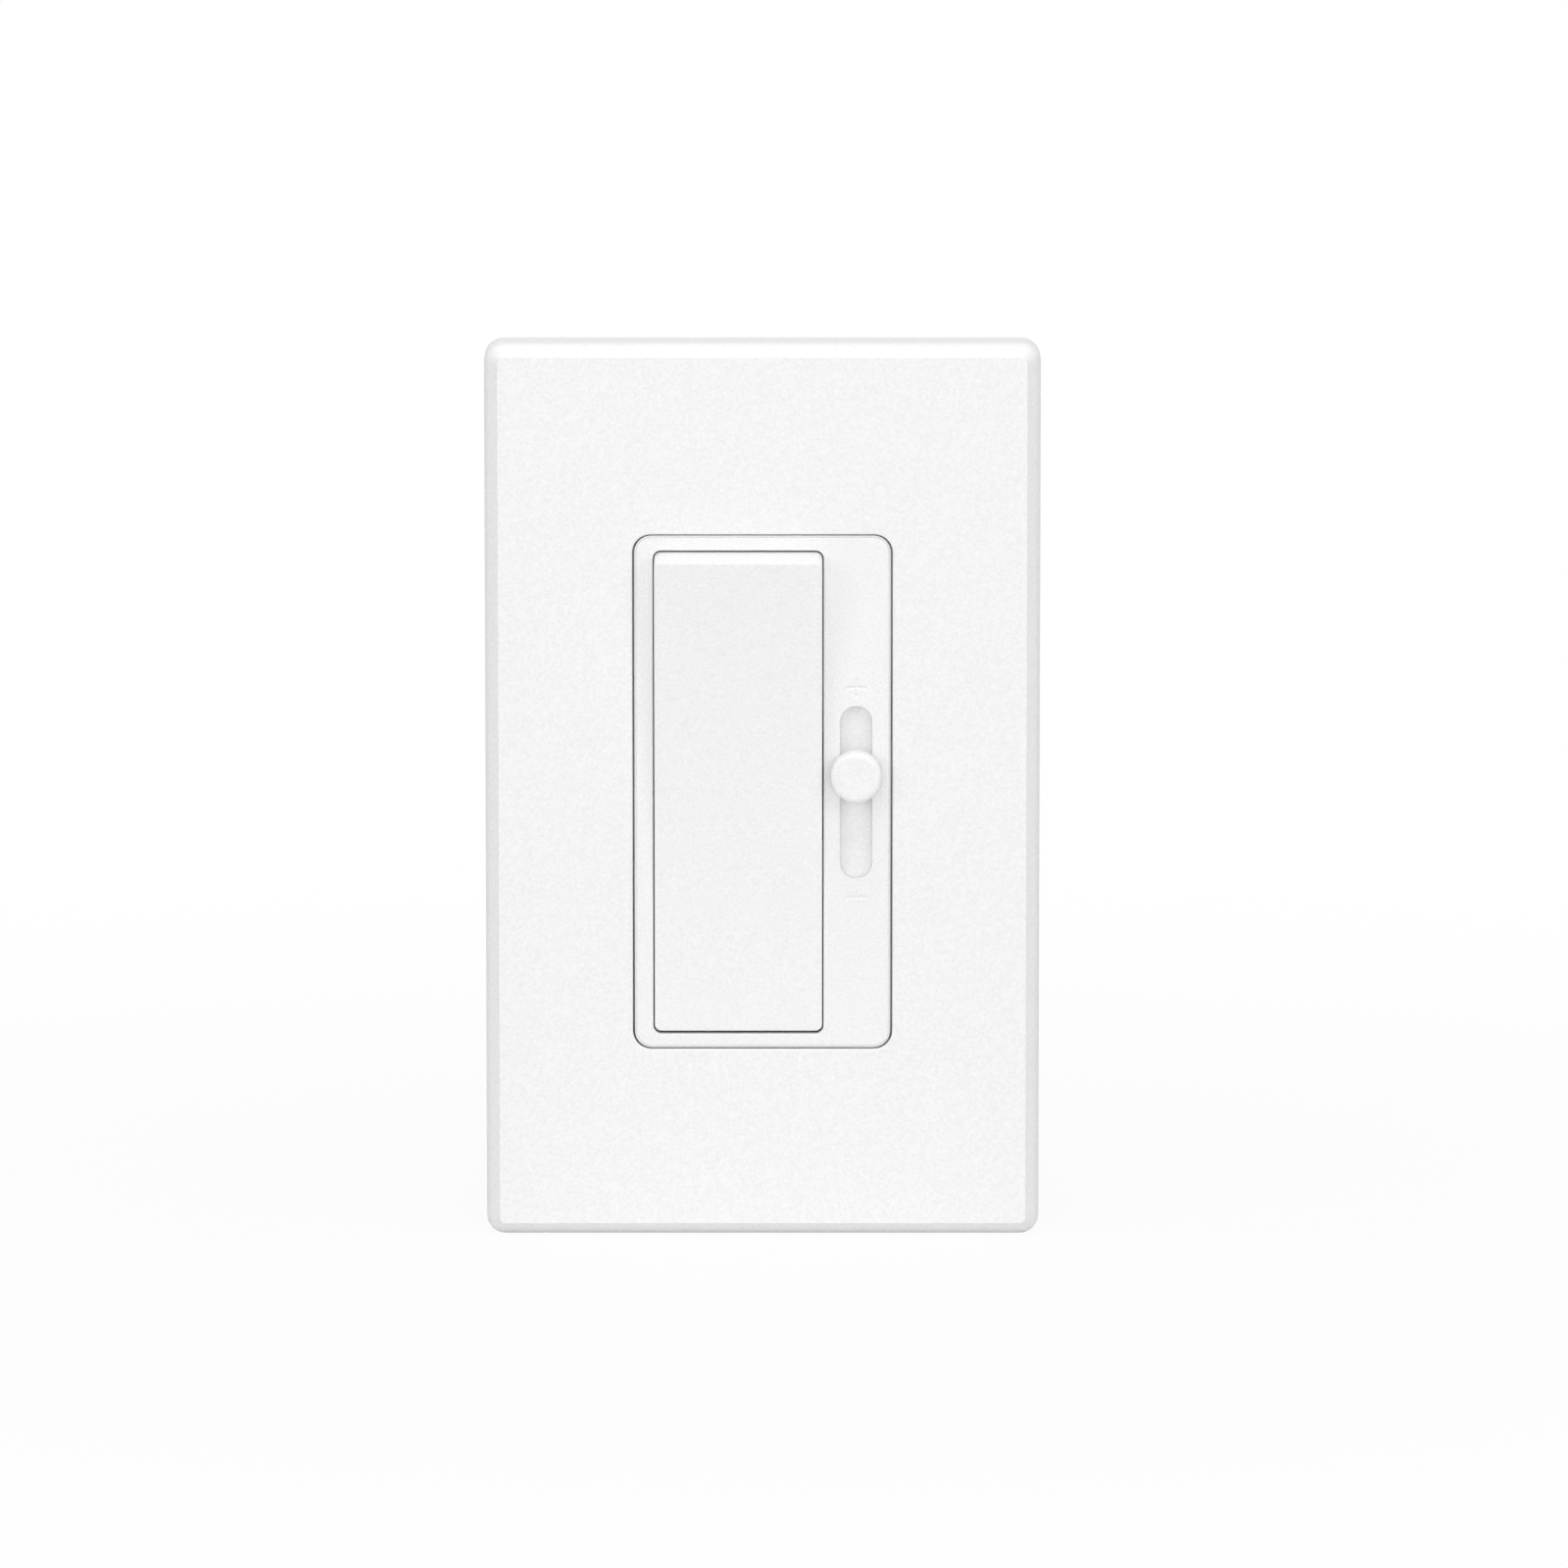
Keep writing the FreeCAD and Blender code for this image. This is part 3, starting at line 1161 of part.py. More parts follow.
def make_terminals():
    """A plate and a binding screw in each recess."""
    screws = {}
    plates = {}
    for name, side, z in TERMINALS:
        middle = f"{side} * (recess_x + terminal_thick / 2)"
        plate = block(f"plate_{name}_solid", middle, z, "terminal_thick", "recess_height - 2 * terminal_gap",
                      "terminal_gap - recess_back", "-recess_front - terminal_gap")
        ends = ("recess_x", "recess_x + terminal_thick")
        if side < 0:
            ends = (f"-({ends[1]})", f"-({ends[0]})")
        hole = cross_rod(f"plate_{name}_hole", "terminal_screw_radius + hole_clearance", "-recess_middle", z,
                         *ends)
        plates[name] = cut(f"plate_{name}", plate, [hole])
        screws[name] = terminal_screw(f"screw_{name}", side, z)
    plates["common"].Label = "common_terminal"
    screws["common"].Label = "common_screw"
    group("traveller_terminals", [plates["traveller_low"], plates["traveller_high"]])
    group("traveller_screws", [screws["traveller_low"], screws["traveller_high"]])


def make_ground_screw():
    """The grounding screw in the strap's bent tab."""
    low = "tab_z - strap_thick / 2"
    high = "tab_z + strap_thick / 2 + ground_screw_reach"
    shank = upright_rod("ground_shank", "terminal_screw_radius", "tab_x", "-tab_middle", low, high)
    head = upright_rod("ground_head", "terminal_head_radius", "tab_x", "-tab_middle",
                       f"{low} - terminal_head_height", low)
    slot = block("ground_slot", "tab_x", f"{low} - terminal_head_height + drive_depth / 2",
                 "2 * terminal_head_radius", "drive_depth", "-tab_middle - drive_width / 2",
                 "drive_width / 2 - tab_middle")
    cut("ground_screw", fuse("ground_solid", [shank, head]), [slot])


# Circuit board and what it carries
def make_board():
    """The circuit board, notched round the housing's bosses."""
    body = new_body("circuit_board")
    outline = new_sketch(body, "outline", "-board_back")
    rectangle(outline, "board_width", "board_height")
    pad(body, outline, "board_thick")
    notches = new_sketch(body, "notches", "-board_front")
    for x in ("-board_width / 2", "board_width / 2"):
        for z in ("-board_height / 2", "board_height / 2"):
            rectangle(notches, "2 * board_notch", "2 * board_notch", centre_point(notches, x, z))
    pocket(body, notches, "board_thick")


def make_triac():
    """The power switch riveted to the strap through an insulating pad."""
    pad_back = "-insulator_thick"
    tab_back = "-insulator_thick - triac_tab"
    case_back = "-insulator_thick - triac_thick"
    hole = "rivet_radius + hole_clearance"
    pad_solid = block("insulator_solid", "paddle_x", "triac_z", "triac_width + insulator_lap",
                      "triac_height + insulator_lap", pad_back, 0)
    cut("triac_insulator", pad_solid, [rod("insulator_hole", hole, "paddle_x", "rivet_z", pad_back, 0)])
    tab = block("triac_tab_plate", "paddle_x", "triac_z", "triac_width", "triac_height", tab_back, pad_back)
    case = block("triac_case", "paddle_x", "triac_z - triac_height / 2 + triac_height * 0.28", "triac_width",
                 "triac_height * 0.56", case_back, tab_back)
    solid = fuse("triac_solid", [tab, case])
    cut("triac", solid, [rod("triac_hole", hole, "paddle_x", "rivet_z", tab_back, pad_back)])
    shank = rod("rivet_shank", "rivet_radius", "paddle_x", "rivet_z", tab_back, "strap_thick")
    front = rod("rivet_front", "rivet_head_radius", "paddle_x", "rivet_z", "strap_thick",
                "strap_thick + rivet_head_height")
    back = rod("rivet_back", "rivet_head_radius", "paddle_x", "rivet_z", f"{tab_back} - rivet_head_height",
               tab_back)
    fuse("triac_rivet", [shank, front, back])


def leaded(name, radius, length, x, z):
    """Make a small wire-ended component that stands off the board's back on its leads."""
    height = "-board_back - resistor_lift"
    body = cross_rod(f"{name}_body", radius, height, z, f"{x} - ({length}) / 2", f"{x} + ({length}) / 2")
    parts = [body]
    for side in ("-", "+"):
        foot = f"{x} {side} ({length}) / 2 {side} lead_radius * 2"
        parts.append(rod(f"{name}_lead{len(parts)}", "lead_radius", foot, z, height, "-board_back"))
        ends = (foot, x) if side == "-" else (x, foot)
        parts.append(cross_rod(f"{name}_wire{len(parts)}", "lead_radius", height, z, *ends))
    return fuse(name, parts)


def make_components():
    """Choke, capacitors, resistors and trigger diode behind the board."""
    back = "-board_back - choke_depth"
    ring = rod("choke_ring", "choke_radius", "choke_x", "choke_z", f"{back} + winding_thick",
               "-board_back - winding_thick")
    bore = rod("choke_hole", "choke_bore", "choke_x", "choke_z", f"{back} + winding_thick",
               "-board_back - winding_thick")
    cut("choke_core", ring, [bore])
    outside = rod("winding_outside", "choke_radius + winding_thick", "choke_x", "choke_z", back,
                  "-board_back")
    inside = rod("winding_inside", "choke_bore - winding_thick", "choke_x", "choke_z", back, "-board_back")
    space = rod("winding_core_space", "choke_radius", "choke_x", "choke_z", f"{back} + winding_thick",
                "-board_back - winding_thick")
    column = rod("winding_core_bore", "choke_bore", "choke_x", "choke_z", f"{back} + winding_thick",
                 "-board_back - winding_thick")
    cut("choke_winding", outside, [inside, cut("winding_core_ring", space, [column])])
    block("filter_capacitor", "filter_x", "filter_z", "filter_width", "filter_height",
          "-board_back - filter_depth", "-board_back")
    block("timing_capacitor", "timing_x", "timing_z", "timing_width", "timing_height",
          "-board_back - timing_depth", "-board_back")
    resistors = []
    for index in range(2):
        z = f"resistor_z + {index} * resistor_pitch"
        resistors.append(leaded(f"resistor_{index}", "resistor_radius", "resistor_length", "resistor_x", z))
    group("resistors", resistors)
    leaded("trigger_diode", "diac_radius", "diac_length", "resistor_x", "diac_z")


# Node name of each sub-part: the label of the object that holds it
NODES = [
    "wallplate_cover", "wallplate_adapter", "adapter_screws", "mounting_strap", "box_screws",
    "screw_retainers", "front_bezel", "paddle", "paddle_pins", "plunger", "plunger_spring",
    "contact_rocker", "moving_contacts", "switch_base", "fulcrum_terminal", "traveller_contacts",
    "slider_knob", "slider_carriage", "drive_leg", "slider_guide", "pot_can", "pot_track", "pot_wiper",
    "pot_brush", "housing", "housing_screws", "common_terminal", "common_screw", "traveller_terminals",
    "traveller_screws", "ground_screw", "circuit_board", "triac", "triac_insulator", "triac_rivet",
    "choke_core", "choke_winding", "filter_capacitor", "timing_capacitor", "resistors", "trigger_diode",
]


def check_and_export():
    """Stop on any failed object or bad shape, then write each sub-part."""
    doc.recompute()
    for item in doc.Objects:
        if "Invalid" in item.State or "Error" in item.State:
            raise RuntimeError(f"{item.Label}: {item.State}")
    shapes = {}
    for label in NODES:
        shape = doc.getObjectsByLabel(label)[0].Shape
        if shape.isNull() or not shape.isValid() or not shape.Solids:
            raise RuntimeError(f"{label} has no valid solid")
        shapes[label] = shape
    os.makedirs("parts", exist_ok=True)
    for label, shape in shapes.items():
        shape.exportStep(f"parts/{label}.step")
        print(f"{label}: {len(shape.Solids)} solids, {shape.Volume:.1f} mm3")


sizes = write_sheet()
make_cover()
make_adapter()
make_adapter_screws()
make_strap()
make_box_screws()
make_retainers()
make_bezel()
make_paddle()
make_paddle_pins()
make_plunger()
make_plunger_spring()
make_rocker()
make_switch_base()
make_common_terminal()
make_fixed_contacts()
make_slider()
make_slider_guide()
make_potentiometer()
make_housing()
make_housing_screws()
make_terminals()
make_ground_screw()
make_board()
make_triac()
make_components()
check_and_export()
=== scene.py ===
import json
import math
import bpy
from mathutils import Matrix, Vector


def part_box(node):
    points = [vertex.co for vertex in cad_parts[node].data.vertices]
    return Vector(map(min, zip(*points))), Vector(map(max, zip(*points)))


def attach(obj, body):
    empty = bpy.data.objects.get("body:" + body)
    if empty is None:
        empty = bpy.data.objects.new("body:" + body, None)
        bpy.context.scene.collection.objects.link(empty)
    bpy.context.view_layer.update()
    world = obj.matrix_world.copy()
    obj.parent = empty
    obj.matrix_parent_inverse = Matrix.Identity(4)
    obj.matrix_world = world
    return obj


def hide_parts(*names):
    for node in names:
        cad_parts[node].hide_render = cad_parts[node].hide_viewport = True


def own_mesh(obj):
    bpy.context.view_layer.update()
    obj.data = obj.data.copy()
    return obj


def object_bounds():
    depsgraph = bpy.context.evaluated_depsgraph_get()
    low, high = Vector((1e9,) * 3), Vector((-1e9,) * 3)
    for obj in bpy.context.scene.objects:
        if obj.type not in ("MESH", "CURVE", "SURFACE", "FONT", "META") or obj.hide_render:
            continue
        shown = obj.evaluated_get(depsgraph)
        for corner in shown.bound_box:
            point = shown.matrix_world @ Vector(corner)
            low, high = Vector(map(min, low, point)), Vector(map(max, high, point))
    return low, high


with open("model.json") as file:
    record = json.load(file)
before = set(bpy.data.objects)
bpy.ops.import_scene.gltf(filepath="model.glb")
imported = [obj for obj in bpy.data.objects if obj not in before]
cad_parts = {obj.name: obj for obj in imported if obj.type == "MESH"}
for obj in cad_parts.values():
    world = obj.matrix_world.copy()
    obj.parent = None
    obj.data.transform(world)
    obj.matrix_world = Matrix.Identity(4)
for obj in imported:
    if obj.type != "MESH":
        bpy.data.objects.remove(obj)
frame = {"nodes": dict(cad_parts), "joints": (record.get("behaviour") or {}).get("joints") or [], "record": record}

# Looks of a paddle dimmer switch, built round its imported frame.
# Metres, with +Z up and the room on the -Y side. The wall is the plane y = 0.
from types import SimpleNamespace

import bmesh
import bpy
from mathutils import Matrix, Vector

cad_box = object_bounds()
MM = 0.001

# Camera fitted to the photograph's edges
TARGET = Vector((2.755, 0, 0)) * MM
CAMERA_DISTANCE = 1.666
CAMERA_ELEVATION = math.radians(9.2)
CAMERA_LENS = 297.2
CAMERA_SENSOR = 36.0
CAMERA_CLIP = (0.05, 60.0)

# Soft boxes: degrees to the right and above, and share of the light on a face turned to them
LAMPS = {
    "key_above_front": (0, 45, 0.07),
    "key_above": (0, 70, 0.21),
    "key_overhead": (0, 88, 0.19),
    "fill_front": (0, 3, 0.243),
    "fill_left": (-45, 20, 0.185),
    "fill_right": (45, 20, 0.185),
}
LAMP_DISTANCE = 2.4
LAMP_SIZE = 1.35
WORLD_LIGHT = 0.3

# Floor: its width, its colour, and two distances in metres, each with the share of plain white there
FLOOR_SIZE = 12.0
FLOOR_COLOUR = (0.8, 0.8, 0.8, 1)
FLOOR_NEAR = (0.06, 0.93)
FLOOR_FAR = (0.30, 1.0)

# Colour of the background and of the floor's white
WHITE_LIGHT = (1, 1, 1, 1)

# Finishes: colours, cells of texture per metre, and depths in millimetres
PALE = (0.9, 0.9, 0.9)
NOISE_ROUGHNESS = 0.55
NOISE_SPREAD = (0.3, 0.7)
SMOOTH_DETAIL = 2.0
MOTTLED_DETAIL = 3.0
STREAKED_DETAIL = 4.0
GLOSS_SHIFT = 5.0
WAVE_CELLS = 60
WAVE_SHIFT = 2.0
GRAIN_SHIFT = 7.0
PLASTIC_GLOSS_CELLS = 900
METAL_DEPTH = 0.004
METAL_SPOTS = 0.3
PIT_CELLS = 2600
PIT_SHIFT = 3.0
PIT_SHARE = 0.3
LACQUER_CELLS = 500
COAT_GLOSS = (0.25, 0.4)
WEAVE_CELLS = 300
WEAVE_STRETCH = 8
WEAVE_SPREAD = (0.12, 0.4)
WEAVE_DARK = 0.8
WEAVE_DEPTH = 0.01
BOARD_GLOSS = (0.35, 0.5)
BOARD_GLOSS_CELLS = 500

# Painted shade in narrow hollows of metal, such as a screw's slot, darkens the colour there: reach, lowest share
# and spread
HOLLOW_SHADE_REACH = 1.2
HOLLOW_SHADE_DARK = 0.3
HOLLOW_SHADE_SPREAD = (0.35, 0.95)
HOLLOW_SHADE_SAMPLES = 8


# Node materials
class Shader:
    """A Principled material whose textures lie in the frame's own metres."""

    def __init__(self, name):
        """Start the material with its shader, its output and its place in the piece."""
        self.material = bpy.data.materials.new(name)
        self.material.use_nodes = True
        self.tree = self.material.node_tree
        self.tree.nodes.clear()
        self.surface = self.node("BsdfPrincipled")
        output = self.node("OutputMaterial")
        self.join(self.surface.outputs["BSDF"], output, "Surface")
        self.place = self.node("TexCoord").outputs["Object"]

    def node(self, kind, inputs=None, **settings):
        """Add a node with the values of its inputs and its other settings."""
        made = self.tree.nodes.new("ShaderNode" + kind)
        for name, value in settings.items():
            setattr(made, name, value)
        for name, value in (inputs or {}).items():
            made.inputs[name].default_value = value
        return made

    def join(self, output, node, name):
        """Link an output to a node's input."""
        self.tree.links.new(output, node.inputs[name])

    def noise(self, scale, detail, stretch=(1, 1, 1), shift=0.0):
        """Noise with a number of cells per metre, drawn out along the axes by stretch."""
        mapping = self.node("Mapping", {"Scale": stretch, "Location": (shift, shift, shift)})
        self.join(self.place, mapping, "Vector")
        values = {"Scale": scale, "Detail": detail, "Roughness": NOISE_ROUGHNESS}
        made = self.node("TexNoise", values)
        self.join(mapping.outputs["Vector"], made, "Vector")
        return made.outputs["Fac"]

    def span(self, value, low, high, start=NOISE_SPREAD[0], end=NOISE_SPREAD[1]):
        """Turn a texture's value into a range of numbers."""
        limits = {"From Min": start, "From Max": end, "To Min": low, "To Max": high}
        made = self.node("MapRange", limits)
        self.join(value, made, "Value")
        return made.outputs["Result"]

    def ramp(self, value, stops, steps=False):
        """Turn a texture's value into colours: stops are pairs of place and colour."""
        made = self.node("ValToRGB")
        if steps:
            made.color_ramp.interpolation = "CONSTANT"
        elements = made.color_ramp.elements
        while len(elements) < len(stops):
            elements.new(0.5)
        for element, (place, colour) in zip(elements, stops):
            element.position = place
            element.color = (*colour, 1)
        self.join(value, made, "Fac")
        return made.outputs["Color"]

    def speckle(self, colour, change, scale):
        """Colour that varies by a share either way."""
        darker = tuple(c * (1 - change) for c in colour)
        lighter = tuple(min(1.0, c * (1 + change)) for c in colour)
        spots = self.noise(scale, MOTTLED_DETAIL)
        return self.ramp(spots, tuple(zip(NOISE_SPREAD, (darker, lighter))))

    def paint_hollow_shade(self, colour):
        """Paint shade into a colour in narrow hollows, darker where the surroundings close in."""
        settings = {"samples": HOLLOW_SHADE_SAMPLES, "only_local": True}
        # Painted shade: ambient occlusion darkens the colour in slots and recesses
        openness = self.node("AmbientOcclusion", {"Distance": HOLLOW_SHADE_REACH * MM}, **settings)
        share = self.span(openness.outputs["AO"], HOLLOW_SHADE_DARK, 1.0, *HOLLOW_SHADE_SPREAD)
        dimmed = self.node("VectorMath", operation="SCALE")
        self.join(colour, dimmed, 0)
        self.join(share, dimmed, "Scale")
        return dimmed.outputs["Vector"]

    def bands(self, ground, places, colours, width):
        """Colour in bands across X: places are the middles of the bands, in metres."""
        along = self.node("SeparateXYZ")
        self.join(self.place, along, "Vector")
        low, high = places[0] - 2 * width, places[-1] + 2 * width
        share = self.span(along.outputs["X"], 0.0, 1.0, low, high)
        stops = [(0.0, ground)]
        for place, colour in zip(places, colours):
            stops.append(((place - width / 2 - low) / (high - low), colour))
            stops.append(((place + width / 2 - low) / (high - low), ground))
        self.colour(self.ramp(share, stops, True))

    def colour(self, output):
        """Give the surface its colour."""
        self.join(output, self.surface, "Base Color")

    def rough(self, low, high, scale, stretch=(1, 1, 1)):
        """Give the surface a roughness that varies between two values."""
        clouds = self.noise(scale, MOTTLED_DETAIL, stretch, GLOSS_SHIFT)
        self.join(self.span(clouds, low, high), self.surface, "Roughness")

    def bumps(self, *layers):
        """Add height textures on top of each other: each layer is its output and its depth in metres."""
        below = None
        for output, depth in layers:
            bump = self.node("Bump", {"Strength": 1.0, "Distance": depth})
            self.join(output, bump, "Height")
            if below:
                self.join(below.outputs["Normal"], bump, "Normal")
            below = bump
        self.join(below.outputs["Normal"], self.surface, "Normal")

    def set(self, **values):
        """Set the surface's constant values."""
        for name, value in values.items():
            self.surface.inputs[name.replace("_", " ")].default_value = value


def plastic(name, colour, change=0.055, grain=3200, low=0.42, high=0.52, depth=0.006, wave=0.004):
    """Moulded plastic: fine spark-eroded grain, a faint long wave and uneven gloss."""
    shader = Shader(name)
    shader.colour(shader.speckle(colour, change, grain))
    shader.rough(low, high, PLASTIC_GLOSS_CELLS)
    shader.bumps((shader.noise(WAVE_CELLS, SMOOTH_DETAIL, shift=WAVE_SHIFT), wave * MM),
                 (shader.noise(grain, SMOOTH_DETAIL, shift=GRAIN_SHIFT), depth * MM))
    shader.set(IOR=1.49)
    return shader.material


def metal(name, colour, low=0.28, high=0.42, streak=(1, 1, 1), scale=400, change=0.05):
    """Plated or rolled metal: streaks of finish, mottled tone, fine pits and painted shade in hollows."""
    shader = Shader(name)
    # The colour carries painted shade in narrow hollows such as screw slots
    shader.colour(shader.paint_hollow_shade(shader.speckle(colour, change, scale * METAL_SPOTS)))
    shader.rough(low, high, scale, streak)
    pits = shader.noise(PIT_CELLS, SMOOTH_DETAIL, shift=PIT_SHIFT)
    shader.bumps((shader.noise(scale, STREAKED_DETAIL, streak), METAL_DEPTH * MM),
                 (pits, PIT_SHARE * METAL_DEPTH * MM))
    shader.set(Metallic=1.0)
    return shader.material


def coated(shader, gloss_cells, bump_cells, depth, coat, coat_roughness):
    """Finish a shader with a glossy coat over a slightly uneven body."""
    shader.rough(*COAT_GLOSS, gloss_cells)
    shader.bumps((shader.noise(bump_cells, MOTTLED_DETAIL), depth * MM))
    shader.set(Coat_Weight=coat, Coat_Roughness=coat_roughness)
    return shader.material


def lacquer(name, colour, change):
    """Dipped or painted finish."""
    shader = Shader(name)
    shader.colour(shader.speckle(colour, change, LACQUER_CELLS))
    return coated(shader, gloss_cells=350, bump_cells=240, depth=0.02, coat=0.6, coat_roughness=0.12)


def banded(name, ground, offsets, colours):
    """Lacquered body with painted bands at offsets from the middle of the leaded parts."""
    shader = Shader(name)
    places = [leaded_middle + offset * MM for offset in offsets]
    shader.bands(ground, places, colours, BAND_WIDTH * MM)
    return coated(shader, gloss_cells=700, bump_cells=500, depth=0.015, coat=0.4, coat_roughness=0.15)


def laminate(name, colour):
    """Pressed board with a cloth weave under its surface."""
    shader = Shader(name)
    warp = shader.noise(WEAVE_CELLS, SMOOTH_DETAIL, (WEAVE_STRETCH, 1, 1))
    weft = shader.noise(WEAVE_CELLS, SMOOTH_DETAIL, (1, 1, WEAVE_STRETCH))
    weave = shader.node("Math", operation="MULTIPLY")
    shader.join(warp, weave, 0)
    shader.join(weft, weave, 1)
    dark = tuple(c * WEAVE_DARK for c in colour)
    shader.colour(shader.ramp(weave.outputs["Value"], tuple(zip(WEAVE_SPREAD, (dark, colour)))))
    shader.rough(*BOARD_GLOSS, BOARD_GLOSS_CELLS)
    shader.bumps((weave.outputs["Value"], WEAVE_DEPTH * MM))
    return shader.material


# Width of a painted band, and the middle of the small parts that stand on leads
BAND_WIDTH = 0.45
leaded_middle = sum(corner.x for corner in map(Vector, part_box("resistors"))) / 2

# Finish and settings of every material slot
FINISHES = {
    "cover_plastic": (plastic, dict(colour=PALE)),
    "control_plastic": (plastic, dict(colour=PALE)),
    "adapter_plastic": (plastic, dict(colour=(0.84, 0.84, 0.83), low=0.48, high=0.6)),
    "guide_plastic": (plastic, dict(colour=(0.72, 0.73, 0.74), low=0.35, high=0.45)),
    "screw_steel": (metal, dict(colour=(0.72, 0.72, 0.7))),
    "strap_aluminium": (metal, dict(colour=(0.78, 0.79, 0.8), low=0.3, high=0.46, streak=(1, 1, 0.04),
                                    scale=1500, change=0.03)),
    "retainer_fibre": (plastic, dict(colour=(0.76, 0.69, 0.55), change=0.06, grain=1200, low=0.7,
                                     high=0.85, depth=0.02)),
    "pin_steel": (metal, dict(colour=(0.2, 0.2, 0.21), low=0.3, high=0.45, streak=(0.05, 1, 1),
                              scale=900)),
    "spring_steel": (metal, dict(colour=(0.55, 0.55, 0.56), low=0.2, high=0.34)),
    "contact_brass": (metal, dict(colour=(0.78, 0.6, 0.3), low=0.25, high=0.4, streak=(1, 1, 0.06),
                                  scale=1200)),
    "contact_silver": (metal, dict(colour=(0.85, 0.85, 0.83), low=0.22, high=0.34)),
    "base_plastic": (plastic, dict(colour=(0.1, 0.1, 0.11), change=0.08, grain=1800, low=0.4,
                                   high=0.55, depth=0.01)),
    "housing_plastic": (plastic, dict(colour=(0.045, 0.047, 0.05), change=0.12, grain=1600, low=0.42,
                                      high=0.58, depth=0.016, wave=0.012)),
    "black_screw": (metal, dict(colour=(0.05, 0.05, 0.055), low=0.35, high=0.5)),
    "green_screw": (lacquer, dict(colour=(0.03, 0.22, 0.07), change=0.12)),
    "board_laminate": (laminate, dict(colour=(0.46, 0.33, 0.15))),
    "pot_steel": (metal, dict(colour=(0.66, 0.67, 0.68), low=0.24, high=0.4, streak=(1, 1, 0.1),
                              scale=700)),
    "track_carbon": (plastic, dict(colour=(0.03, 0.03, 0.03), change=0.2, grain=1500, low=0.5,
                                   high=0.7, depth=0.01)),
    "triac_epoxy": (plastic, dict(colour=(0.03, 0.03, 0.033), change=0.15, grain=1500, low=0.45,
                                  high=0.6, depth=0.012)),
    "pad_mica": (plastic, dict(colour=(0.75, 0.73, 0.69), change=0.04, grain=700, low=0.3, high=0.5)),
    "rivet_aluminium": (metal, dict(colour=(0.8, 0.8, 0.81), low=0.25, high=0.38)),
    "choke_iron": (plastic, dict(colour=(0.16, 0.16, 0.15), change=0.25, grain=1400, low=0.6,
                                 high=0.8, depth=0.02)),
    "winding_copper": (lacquer, dict(colour=(0.42, 0.14, 0.04), change=0.08)),
    "capacitor_film": (lacquer, dict(colour=(0.5, 0.06, 0.02), change=0.05)),
    "capacitor_small": (lacquer, dict(colour=(0.03, 0.09, 0.35), change=0.05)),
    "resistor_body": (banded, dict(ground=(0.62, 0.47, 0.27), offsets=(-1.8, -0.9, 0.0, 1.7),
                                   colours=((0.25, 0.09, 0.03), (0.02, 0.02, 0.02),
                                            (0.75, 0.35, 0.02), (0.55, 0.4, 0.12)))),
    "diode_body": (banded, dict(ground=(0.04, 0.12, 0.42), offsets=(-1.2, 1.2),
                                colours=((0.8, 0.8, 0.78), (0.02, 0.02, 0.02)))),
}


def dress_nodes():
    """Make the node material of every slot and give it to the slot's CAD nodes."""
    made = {}
    for part in frame["record"]["subparts"]:
        slot = part["material_slot"]
        if slot not in made:
            finish, settings = FINISHES[slot]
            made[slot] = finish(slot, **settings)
        for material_slot in frame["nodes"][part["node"]].material_slots:
            material_slot.material = made[slot]
    return made


# Fineness of round shapes, and the angle from which an edge is shown sharp
LATHE_SIDES = 40
HEAD_SIDES = 56
SHANK_SIDES = 28
WIRE_SIDES = 8
LEAD_SIDES = 10
ARC_STEPS = 6
SHARP_ANGLE = math.radians(35)


# Meshes of the pieces, as pairs of points and faces
def lathe(rings, sides, thread=None):
    """Turn rings about Z into a closed shell, with a thread of the given pitch if there is one.

    A ring is its radius, its height and the thread's depth there; a radius of 0 is a pole.
    """
    points = []
    rows = []
    for radius, height, depth in rings:
        if radius == 0:
            rows.append([len(points)])
            points.append((0, 0, height))
            continue
        row = []
        for side in range(sides):
            share = side / sides
            turn = math.tau * share
            wave = abs(2 * ((height / thread + share) % 1) - 1) if depth else 0
            reach = radius - depth * wave
            row.append(len(points))
            points.append((reach * math.cos(turn), reach * math.sin(turn), height))
        rows.append(row)
    faces = []
    for below, above in zip(rows, rows[1:]):
        for side in range(sides):
            after = (side + 1) % sides
            if len(below) == 1:
                faces.append((below[0], above[after], above[side]))
            elif len(above) == 1:
                faces.append((below[side], below[after], above[0]))
            else:
                faces.append((below[side], below[after], above[after], above[side]))
    return points, faces


def tube(path, radius, sides):
    """Run a round section along a list of points, with closed ends."""
    points = []
    faces = []
    normal = None
    for index, place in enumerate(path):
        along = (path[min(index + 1, len(path) - 1)] - path[max(index - 1, 0)]).normalized()
        if normal is None:
            normal = along.orthogonal().normalized()
        normal = (normal - along * normal.dot(along)).normalized()
        across = along.cross(normal)
        for side in range(sides):
            turn = math.tau * side / sides
            points.append(tuple(place + radius * (math.cos(turn) * normal + math.sin(turn) * across)))
    for ring in range(len(path) - 1):
        for side in range(sides):
            first, second = ring * sides + side, ring * sides + (side + 1) % sides
            faces.append((first, second, second + sides, first + sides))
    faces.append(tuple(reversed(range(sides))))
    faces.append(tuple(range(len(points) - sides, len(points))))
    return points, faces


def soft_box(width, depth, height, round_off, segments):
    """Make a box about the origin with rounded edges."""
    shape = bmesh.new()
    bmesh.ops.create_cube(shape, size=1.0, matrix=Matrix.Diagonal((width, depth, height, 1)))
    bmesh.ops.bevel(shape, geom=shape.edges[:], offset=round_off, segments=segments,
                    affect="EDGES", profile=0.5)
    shape.verts.index_update()
    points = [tuple(vert.co) for vert in shape.verts]
    faces = [tuple(vert.index for vert in face.verts) for face in shape.faces]
    shape.free()
    return points, faces


def moved(shell, matrix):
    """Move a shell by a matrix."""
    points, faces = shell
    return [tuple(matrix @ Vector(point)) for point in points], faces


